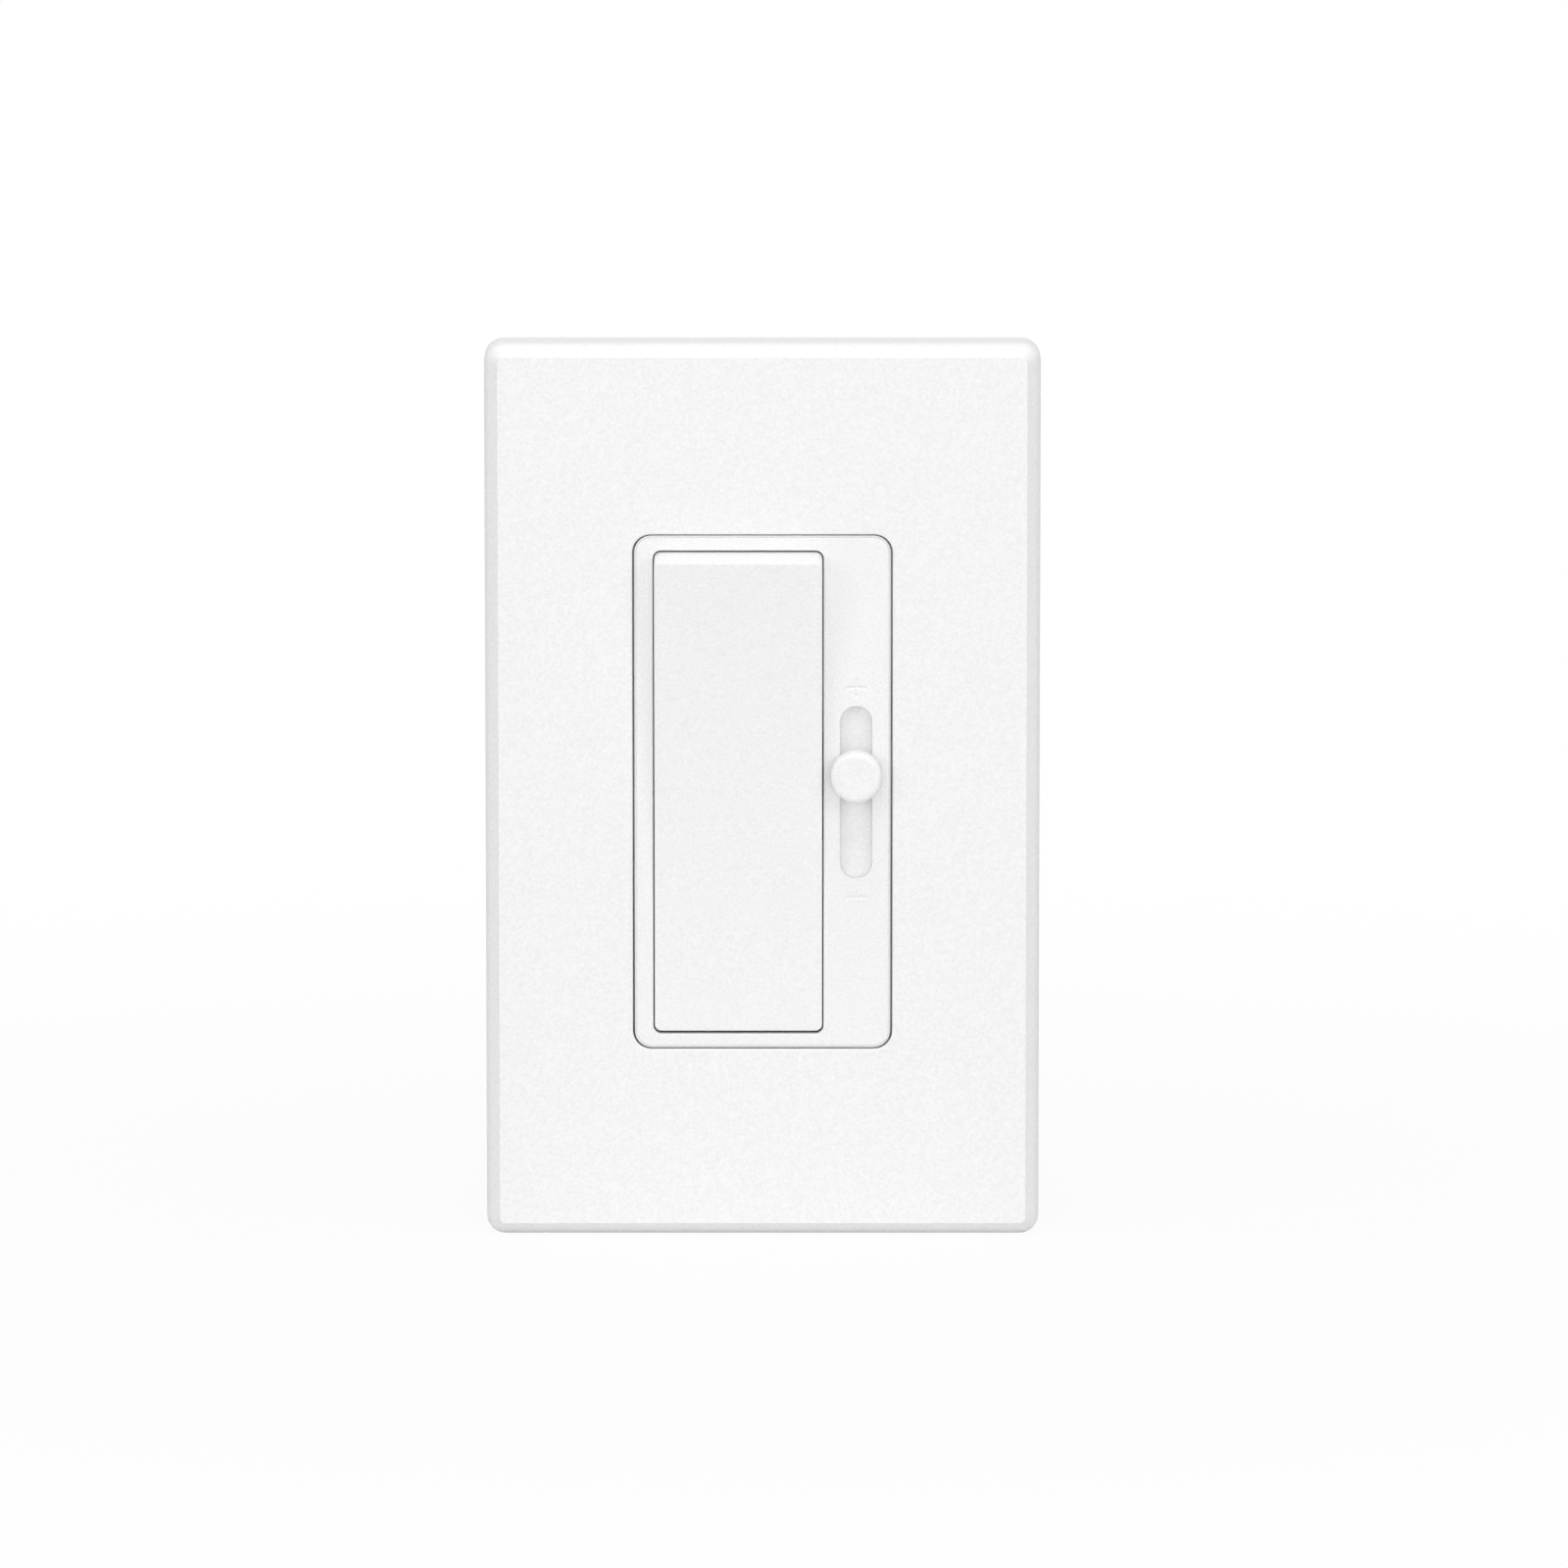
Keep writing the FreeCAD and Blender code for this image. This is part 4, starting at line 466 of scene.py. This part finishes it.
def as_mesh(name, shells):
    """Join shells into one mesh with sharp edges where faces meet steeply."""
    points = []
    faces = []
    for shell_points, shell_faces in shells:
        first = len(points)
        points += shell_points
        faces += [tuple(first + index for index in face) for face in shell_faces]
    mesh = bpy.data.meshes.new(name)
    mesh.from_pydata(points, [], faces)
    finish_mesh(mesh)
    return mesh


def finish_mesh(mesh):
    """Turn the faces outwards and shade them smooth up to a steep angle."""
    shape = bmesh.new()
    shape.from_mesh(mesh)
    bmesh.ops.recalc_face_normals(shape, faces=shape.faces[:])
    shape.to_mesh(mesh)
    shape.free()
    mesh.shade_smooth()
    mesh.set_sharp_from_angle(angle=SHARP_ANGLE)


def carved(mesh, cutters):
    """Cut shells out of a mesh and give what is left as a shell."""
    target = bpy.data.objects.new("carved", mesh)
    bpy.context.scene.collection.objects.link(target)
    tools = []
    for shell in cutters:
        tool = bpy.data.objects.new("cutter", as_mesh("cutter", [shell]))
        bpy.context.scene.collection.objects.link(tool)
        modifier = target.modifiers.new("cut", "BOOLEAN")
        modifier.operation = "DIFFERENCE"
        modifier.solver = "EXACT"
        modifier.object = tool
        tools.append(tool)
    bpy.context.view_layer.update()
    graph = bpy.context.evaluated_depsgraph_get()
    result = bpy.data.meshes.new_from_object(target.evaluated_get(graph))
    points = [tuple(vert.co) for vert in result.vertices]
    faces = [tuple(face.vertices) for face in result.polygons]
    for item in [target, *tools]:
        bpy.data.objects.remove(item)
    bpy.data.meshes.remove(result)
    return points, faces


def make_piece(name, shells, body, slot, *nodes):
    """Add a piece that rides on a body and stands for CAD nodes."""
    piece = bpy.data.objects.new(name, as_mesh(name, shells))
    bpy.context.scene.collection.objects.link(piece)
    piece.data.materials.append(finishes[slot])
    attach(piece, body)
    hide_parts(*nodes)
    return piece


# Screws, in millimetres and degrees, with the seat of the head at height 0 and the head above it.
# Head and shank are radii, a slot is its width and depth, a cross its reach, width and depth, and
# turns say how far each screw of the kind is driven round.
THREAD_32 = 0.794
BOX_SCREW = SimpleNamespace(head=3.2, height=2.1, edge=0.7, slot=(0.85, 0.7), cross=(1.6, 0.8, 1.35),
                            shank=1.75, neck=1.75, length=25.0, pitch=THREAD_32, point=0.8,
                            turns=(20, 65))
ADAPTER_SCREW = SimpleNamespace(head=2.9, height=1.45, edge=1.15, slot=(0.85, 0.75), cross=None,
                                shank=1.75, neck=0.3, pitch=THREAD_32, point=0, turns=(0, 90))
HOUSING_SCREW = SimpleNamespace(head=2.3, height=1.6, edge=0.5, slot=None, cross=(1.35, 0.65, 1.1),
                                shank=1.25, neck=24.0, pitch=0.7, point=0, turns=(25, 95, 165, 235))
TERMINAL_SCREW = SimpleNamespace(head=3.5, height=2.0, edge=0.6, slot=(0.95, 0.65),
                                 cross=(1.7, 0.85, 1.2), shank=1.9, neck=0.4, length=5.6,
                                 pitch=THREAD_32, point=0, turns=(12, -18, 33))
GROUND_SCREW = SimpleNamespace(head=3.5, height=2.0, edge=0.75, slot=(0.95, 0.8), cross=None,
                               shank=1.9, neck=0.3, pitch=THREAD_32, point=0, turns=(40,))

# Shape of the threads, as shares of the pitch, and rings on each turn of one
THREAD_DEPTH = 0.6
THREAD_STEPS = 8
POINT_SHARE = 0.5

# Shape of the heads, as shares of the radius, the height or the edge
FOOT_SHARE = 0.97
FOOT_RISE = 0.08
CROWN_REACH = 0.9125
CROWN_INSET = 1.6
BUTTON_STEPS = 9

# Cutting shapes: a slot's length in head radii, a cross's share left at the bottom, and their edges
SLOT_LENGTH = 2.4
CROSS_TAPER = (0.3, 0.5)
CUT_EDGE = 0.02

# Directions that the screws face
ROOM = (0, -1, 0)
WALL = (0, 1, 0)
LEFT = (-1, 0, 0)
RIGHT = (1, 0, 0)
DOWN = (0, 0, -1)


def thread_rings(kind, length):
    """Give the rings of a shank: a plain neck, a thread and a point."""
    root = THREAD_DEPTH * kind.pitch
    steps = round((length - kind.neck) / kind.pitch * THREAD_STEPS)
    rings = [(0, 0, 0), (kind.shank, 0, 0), (kind.shank, -kind.neck, 0)]
    for step in range(1, steps):
        height = -kind.neck - (length - kind.neck) * step / steps
        fade = min(1, step / THREAD_STEPS, (steps - step) / THREAD_STEPS)
        rings.append((kind.shank, height, root * fade))
    rings.append((kind.shank - root, -length, 0))
    if kind.point:
        rings.append((kind.shank * POINT_SHARE, -length - kind.point, 0))
    rings.append((0, rings[-1][1], 0))
    return rings


def arc(steps, last):
    """Give the sine and cosine of each step of a quarter turn, from the first to the last."""
    turns = [math.radians(90 / steps * step) for step in range(1, last + 1)]
    return [(math.sin(turn), math.cos(turn)) for turn in turns]


def pan(kind):
    """Give the rings of a pan head: an upright edge, then a crown that ends at the height."""
    shoulder = kind.height - kind.edge
    rings = [(0, 0, 0), (kind.head * FOOT_SHARE, 0, 0), (kind.head, FOOT_RISE * kind.height, 0)]
    rings.append((kind.head, shoulder, 0))
    for rise, run in arc(ARC_STEPS, ARC_STEPS):
        fall = 1 - rise * CROWN_REACH
        rings.append((kind.head - kind.edge * (1 - run), kind.height - kind.edge * fall, 0))
    rings.append((kind.head - CROWN_INSET * kind.edge, kind.height, 0))
    rings.append((0, kind.height, 0))
    return rings


def domed(kind, foot, steps):
    """Give the rings of a domed head over an edge, which stands on a foot of its own radius."""
    rings = [(0, 0, 0), (foot, 0, 0), (kind.head, kind.edge, 0)]
    for rise, run in arc(steps, steps - 1):
        rings.append((kind.head * run, kind.edge + (kind.height - kind.edge) * rise, 0))
    rings.append((0, kind.height, 0))
    return rings


def slot_cut(kind):
    """Give the bar that cuts a slot across the head."""
    width, depth = kind.slot
    bar = soft_box(SLOT_LENGTH * kind.head, width, 2 * depth, CUT_EDGE, 1)
    return [moved(bar, Matrix.Translation((0, 0, kind.height)))]


def cross_cut(kind):
    """Give the two tapered bars that cut a cross recess."""
    reach, width, depth = kind.cross
    points, faces = soft_box(2 * reach, width, 2 * depth, CUT_EDGE, 1)
    along, across = CROSS_TAPER
    tapered = [(x, y, z) if z > 0 else (x * along, y * across, z) for x, y, z in points]
    bars = []
    for turn in (0, 90):
        place = Matrix.Translation((0, 0, kind.height)) @ Matrix.Rotation(math.radians(turn), 4, "Z")
        bars.append(moved((tapered, faces), place))
    return bars


def screw(kind, head_rings, length, turn, outward, seat):
    """Build a screw that faces outwards from its seat, in the frame's metres."""
    cuts = (slot_cut(kind) if kind.slot else []) + (cross_cut(kind) if kind.cross else [])
    head = carved(as_mesh("head", [lathe(head_rings, HEAD_SIDES)]), cuts)
    shank = lathe(thread_rings(kind, length), SHANK_SIDES, kind.pitch)
    place = facing(outward, seat) @ Matrix.Rotation(math.radians(turn), 4, "Z")
    return [moved(shell, place @ Matrix.Scale(MM, 4)) for shell in (head, shank)]


def facing(direction, place):
    """Turn +Z to a direction and move to a place."""
    return Matrix.Translation(place) @ Vector(direction).to_track_quat("Z", "Y").to_matrix().to_4x4()


def frame_height(node):
    """Give the y of a node's face on the room side."""
    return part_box(node)[0].y


def pair(low, high, radius, turns):
    """Give the side, the height and the turn of two screws at the ends of their box."""
    return zip(("low", "high"), (low.z + radius, high.z - radius), turns)


def make_box_screws():
    """Two machine screws with combined slot and cross recesses, for the wall box."""
    low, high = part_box("box_screws")
    radius = (high.x - low.x) / 2
    seat = frame_height("mounting_strap")
    middle = (low.x + high.x) / 2
    for side, z, turn in pair(low, high, radius, BOX_SCREW.turns):
        shells = screw(BOX_SCREW, pan(BOX_SCREW), BOX_SCREW.length, turn, ROOM, (middle, seat, z))
        make_piece(f"box_screw_{side}", shells, "device", "screw_steel", "box_screws")


def make_adapter_screws():
    """Two oval-head screws that hold the adapter."""
    low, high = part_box("adapter_screws")
    radius = (high.x - low.x) / 2
    middle = (low.x + high.x) / 2
    seat = low.y + ADAPTER_SCREW.height * MM
    head = domed(ADAPTER_SCREW, ADAPTER_SCREW.head - ADAPTER_SCREW.edge, ARC_STEPS)
    length = (high.y - seat) / MM
    for side, z, turn in pair(low, high, radius, ADAPTER_SCREW.turns):
        shells = screw(ADAPTER_SCREW, head, length, turn, ROOM, (middle, seat, z))
        make_piece(f"adapter_screw_{side}", shells, "device", "screw_steel", "adapter_screws")


def make_housing_screws():
    """Four screws with cross recesses, sunk in the housing's back."""
    low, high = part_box("housing_screws")
    radius = HOUSING_SCREW.head * MM
    seat = high.y - HOUSING_SCREW.height * MM
    length = (seat - low.y) / MM
    columns = (low.x + radius, high.x - radius)
    rows = (low.z + radius, high.z - radius)
    spots = [(x, z) for x in columns for z in rows]
    for index, ((x, z), turn) in enumerate(zip(spots, HOUSING_SCREW.turns)):
        shells = screw(HOUSING_SCREW, pan(HOUSING_SCREW), length, turn, WALL, (x, seat, z))
        make_piece(f"housing_screw_{index}", shells, "device", "screw_steel", "housing_screws")


def terminal_screw(outward, seat, turn):
    """Build a binding-head terminal screw seated at a place and facing outwards."""
    kind = TERMINAL_SCREW
    return screw(kind, pan(kind), kind.length, turn, outward, seat)


def make_terminal_screws():
    """Binding screws of the terminals in the housing's sides and of the ground tab."""
    common_turn, *traveller_turns = TERMINAL_SCREW.turns
    head = TERMINAL_SCREW.height * MM
    low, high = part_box("common_screw")
    seat = (low.x + head, (low.y + high.y) / 2, (low.z + high.z) / 2)
    make_piece("common_screw_turned", terminal_screw(LEFT, seat, common_turn), "device",
               "black_screw", "common_screw")
    low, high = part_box("traveller_screws")
    radius = (high.y - low.y) / 2
    for side, z, turn in pair(low, high, radius, traveller_turns):
        seat = (high.x - head, (low.y + high.y) / 2, z)
        make_piece(f"traveller_screw_{side}", terminal_screw(RIGHT, seat, turn), "device",
                   "contact_brass", "traveller_screws")
    low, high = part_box("ground_screw")
    kind = GROUND_SCREW
    seat = ((low.x + high.x) / 2, (low.y + high.y) / 2, low.z + kind.height * MM)
    length = (high.z - seat[2]) / MM
    shells = screw(kind, domed(kind, kind.head, BUTTON_STEPS), length, kind.turns[0], DOWN, seat)
    make_piece("ground_screw_turned", shells, "device", "green_screw", "ground_screw")


# Spring of the plunger, in millimetres: its ends lie behind and in front of the paddle's axis, and
# its closed end turns take so many radii of the wire
SPRING_RADIUS = 1.38
SPRING_WIRE = 0.3
SPRING_TURNS = 7
SPRING_STEPS = 24
SPRING_BACK = 3.0
SPRING_FRONT = 3.7
SPRING_CLOSED = 6


def make_plunger_spring():
    """The coil between the plunger and the paddle's front wall, with closed ends."""
    joint = [joint for joint in frame["joints"] if joint["name"] == "plunger_press"][0]
    hinge = [joint for joint in frame["joints"] if joint["name"] == "paddle_rock"][0]
    ahead = Vector(joint["axis"]).normalized()
    pivot = Vector(hinge["pos_m"])
    start = pivot - ahead * SPRING_BACK * MM
    length = SPRING_BACK + SPRING_FRONT
    side = Vector((1, 0, 0))
    across = ahead.cross(side)
    path = []
    steps = SPRING_TURNS * SPRING_STEPS
    for step in range(steps + 1):
        turns = SPRING_TURNS * step / steps
        closed = min(max((turns - 1) / (SPRING_TURNS - 2), 0), 1)
        ends = min(turns, 1) + max(turns - SPRING_TURNS + 1, 0)
        along = SPRING_WIRE + ends * 2 * SPRING_WIRE + closed * (length - SPRING_CLOSED * SPRING_WIRE)
        turn = math.tau * turns
        spot = along * ahead + SPRING_RADIUS * (math.cos(turn) * side + math.sin(turn) * across)
        path.append(start + spot * MM)
    coil = [tube(path, SPRING_WIRE * MM, WIRE_SIDES)]
    piece = make_piece("plunger_spring_coil", coil, "plunger", "spring_steel", "plunger_spring")
    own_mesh(piece)


# Winding of the choke: the band of the ring that it fills in millimetres, its turns round the
# ring in degrees, and how square each turn is
WINDING_TURNS = 17
WINDING_STEPS = 28
WINDING_WIRE = 0.5
WINDING_BAND = 5.4
WINDING_START = 115
WINDING_SWEEP = 310
WINDING_SQUARE = 0.5
WINDING_FLAT = 1.02


def squared(share):
    """Push a cosine or sine outwards, so that a round turn becomes nearly square."""
    pushed = math.copysign(abs(share) ** WINDING_SQUARE, share)
    return max(-1, min(1, WINDING_FLAT * pushed))


def make_choke_winding():
    """Enamelled wire wound round most of the ring core."""
    low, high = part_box("choke_winding")
    middle = (low + high) / 2
    outer = (high.x - low.x) / 2 / MM
    half = (high.y - low.y) / 2 / MM - WINDING_WIRE
    inner = outer - WINDING_BAND + WINDING_WIRE
    outer -= WINDING_WIRE
    path = []
    steps = WINDING_TURNS * WINDING_STEPS
    for step in range(steps + 1):
        turn = math.tau * step / WINDING_STEPS
        out, up = squared(math.cos(turn)), squared(math.sin(turn))
        radius = (inner + outer) / 2 + (outer - inner) / 2 * out
        ring = math.radians(WINDING_START + WINDING_SWEEP * step / steps)
        path.append(middle + Vector((radius * math.cos(ring), half * up, radius * math.sin(ring))) * MM)
    wire = [tube(path, WINDING_WIRE * MM, WIRE_SIDES)]
    make_piece("choke_wire", wire, "device", "winding_copper", "choke_winding")


# Dipped capacitors: node, material slot and rounding in millimetres
CAPACITORS = (("filter_capacitor", "capacitor_film", 1.1), ("timing_capacitor", "capacitor_small", 1.2))
CAPACITOR_SEGMENTS = 5


def make_capacitors():
    """A large boxed film capacitor and a small dipped one."""
    for node, slot, round_off in CAPACITORS:
        low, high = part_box(node)
        shell = soft_box(*(high - low), round_off * MM, CAPACITOR_SEGMENTS)
        place = Matrix.Translation((low + high) / 2)
        make_piece(node + "_dipped", [moved(shell, place)], "device", slot, node)


# Parts on bent leads, in millimetres: radius and length of the bodies, and the leads
RESISTOR = (1.2, 6.5)
DIODE = (0.95, 4.0)
LEAD_RADIUS = 0.3
LEAD_ROOT = 0.3
LEAD_BEND = 0.5

# Shape of a body, as shares of its radius and of its caps' length: cap, end face and waist
CAP_LENGTH = 0.32
CAP_EDGE = 0.35
CAP_TAPER = 1.25
END_FACE = 0.7
WAIST = 0.86


def waisted(radius, length):
    """Give the rings of a body with a cap at each end and a thinner waist."""
    half = length / 2
    cap = CAP_LENGTH * half
    profile = ((0, 0), (END_FACE, 0), (1, CAP_EDGE), (1, 1), (WAIST, CAP_TAPER))
    near = [(radius * share, -half + inset * cap, 0) for share, inset in profile]
    return near + [(reach, -height, 0) for reach, height, _ in reversed(near)]


def leaded(name, node, slot, z, radius, length):
    """A small part with waisted body and bent leads that stand on the board."""
    low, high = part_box(node)
    board = low.y
    axis = high.y - radius * MM
    place = facing(RIGHT, (leaded_middle, axis, z)) @ Matrix.Scale(MM, 4)
    make_piece(name, [moved(lathe(waisted(radius, length), LATHE_SIDES), place)], "device", slot, node)
    leads = []
    for side in (-1, 1):
        foot = leaded_middle + side * ((high.x - low.x) / 2 - LEAD_RADIUS * MM)
        path = [Vector((leaded_middle + side * (length / 2 - LEAD_ROOT) * MM, axis, z))]
        for rise, run in [(0.0, 1.0), *arc(ARC_STEPS, ARC_STEPS)]:
            x = foot - side * LEAD_BEND * MM * (1 - rise)
            path.append(Vector((x, axis - LEAD_BEND * MM * (1 - run), z)))
        path.append(Vector((foot, board, z)))
        leads.append(tube(path, LEAD_RADIUS * MM, LEAD_SIDES))
    make_piece(name + "_leads", leads, "device", "screw_steel", node)


def make_leaded_parts():
    """Two resistors and the trigger diode."""
    low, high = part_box("resistors")
    radius = RESISTOR[0] * MM
    leaded("resistor_low", "resistors", "resistor_body", low.z + radius, *RESISTOR)
    leaded("resistor_high", "resistors", "resistor_body", high.z - radius, *RESISTOR)
    low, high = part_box("trigger_diode")
    leaded("trigger_diode_body", "trigger_diode", "diode_body", (low.z + high.z) / 2, *DIODE)


# Studio
def make_camera():
    """Stand where the photograph was taken."""
    back = Vector((0, -math.cos(CAMERA_ELEVATION), math.sin(CAMERA_ELEVATION)))
    right = Vector((1, 0, 0))
    data = bpy.data.cameras.new("photo_camera")
    data.lens = CAMERA_LENS
    data.sensor_width = CAMERA_SENSOR
    data.clip_start, data.clip_end = CAMERA_CLIP
    camera = bpy.data.objects.new("photo_camera", data)
    bpy.context.scene.collection.objects.link(camera)
    turned = Matrix((right, back.cross(right), back)).transposed().to_4x4()
    camera.matrix_world = Matrix.Translation(TARGET + back * CAMERA_DISTANCE) @ turned
    bpy.context.scene.camera = camera


def make_lamps():
    """Hang soft boxes round the object, each as bright as its share of full white asks."""
    for name, (azimuth, elevation, share) in LAMPS.items():
        data = bpy.data.lights.new(name, "AREA")
        data.shape = "SQUARE"
        data.size = LAMP_SIZE
        data.energy = share * math.pi ** 2 * LAMP_DISTANCE ** 2
        lamp = bpy.data.objects.new(name, data)
        bpy.context.scene.collection.objects.link(lamp)
        across, up = math.radians(azimuth), math.radians(elevation)
        flat = math.cos(up)
        towards = Vector((math.sin(across) * flat, -math.cos(across) * flat, math.sin(up)))
        lamp.location = towards * LAMP_DISTANCE
        lamp.rotation_mode = "QUATERNION"
        lamp.rotation_quaternion = (-towards).to_track_quat("-Z", "Y")
        lamp.visible_camera = False


def seen_directly(tree):
    """Build a value that is 1 for rays that show a background: camera, glossy and transmission."""
    path = tree.nodes.new("ShaderNodeLightPath")
    total = path.outputs["Is Camera Ray"]
    for name in ("Is Glossy Ray", "Is Transmission Ray"):
        both = tree.nodes.new("ShaderNodeMath")
        both.operation = "MAXIMUM"
        tree.links.new(total, both.inputs[0])
        tree.links.new(path.outputs[name], both.inputs[1])
        total = both.outputs["Value"]
    return total


def make_world():
    """Even light all round, shown as white."""
    world = bpy.data.worlds.new("studio")
    bpy.context.scene.world = world
    world.use_nodes = True
    tree = world.node_tree
    tree.nodes.clear()
    background = tree.nodes.new("ShaderNodeBackground")
    background.inputs["Color"].default_value = WHITE_LIGHT
    level = tree.nodes.new("ShaderNodeMapRange")
    level.inputs["To Min"].default_value = WORLD_LIGHT
    level.inputs["To Max"].default_value = 1.0
    tree.links.new(seen_directly(tree), level.inputs["Value"])
    tree.links.new(level.outputs["Result"], background.inputs["Strength"])
    output = tree.nodes.new("ShaderNodeOutputWorld")
    tree.links.new(background.outputs["Background"], output.inputs["Surface"])


def white_share(tree):
    """Build the floor's share of plain white, which grows away from the object."""
    place = tree.nodes.new("ShaderNodeTexCoord")
    distance = tree.nodes.new("ShaderNodeVectorMath")
    distance.operation = "LENGTH"
    tree.links.new(place.outputs["Object"], distance.inputs[0])
    share = tree.nodes.new("ShaderNodeMapRange")
    share.interpolation_type = "SMOOTHSTEP"
    for name, value in zip(("From Min", "To Min", "From Max", "To Max"), (*FLOOR_NEAR, *FLOOR_FAR)):
        share.inputs[name].default_value = value
    tree.links.new(distance.outputs["Value"], share.inputs["Value"])
    seen = tree.nodes.new("ShaderNodeMath")
    seen.operation = "MULTIPLY"
    tree.links.new(seen_directly(tree), seen.inputs[0])
    tree.links.new(share.outputs["Result"], seen.inputs[1])
    return seen.outputs["Value"]


def make_floor():
    """A plain pale floor under the object, shown nearly white and with part of its shadow."""
    bpy.ops.mesh.primitive_plane_add(size=FLOOR_SIZE, location=(0, 0, cad_box[0].z))
    floor = bpy.context.object
    floor.name = "studio_floor"
    material = bpy.data.materials.new("floor")
    material.use_nodes = True
    tree = material.node_tree
    tree.nodes.clear()
    lit = tree.nodes.new("ShaderNodeBsdfDiffuse")
    lit.inputs["Color"].default_value = FLOOR_COLOUR
    white = tree.nodes.new("ShaderNodeEmission")
    white.inputs["Color"].default_value = WHITE_LIGHT
    white.inputs["Strength"].default_value = 1.0
    mix = tree.nodes.new("ShaderNodeMixShader")
    tree.links.new(white_share(tree), mix.inputs["Fac"])
    tree.links.new(lit.outputs["BSDF"], mix.inputs[1])
    tree.links.new(white.outputs["Emission"], mix.inputs[2])
    output = tree.nodes.new("ShaderNodeOutputMaterial")
    tree.links.new(mix.outputs["Shader"], output.inputs["Surface"])
    floor.data.materials.append(material)


finishes = dress_nodes()
make_box_screws()
make_adapter_screws()
make_housing_screws()
make_terminal_screws()
make_plunger_spring()
make_choke_winding()
make_capacitors()
make_leaded_parts()
make_camera()
make_lamps()
make_world()
make_floor()
bpy.context.scene.view_settings.view_transform = "Standard"
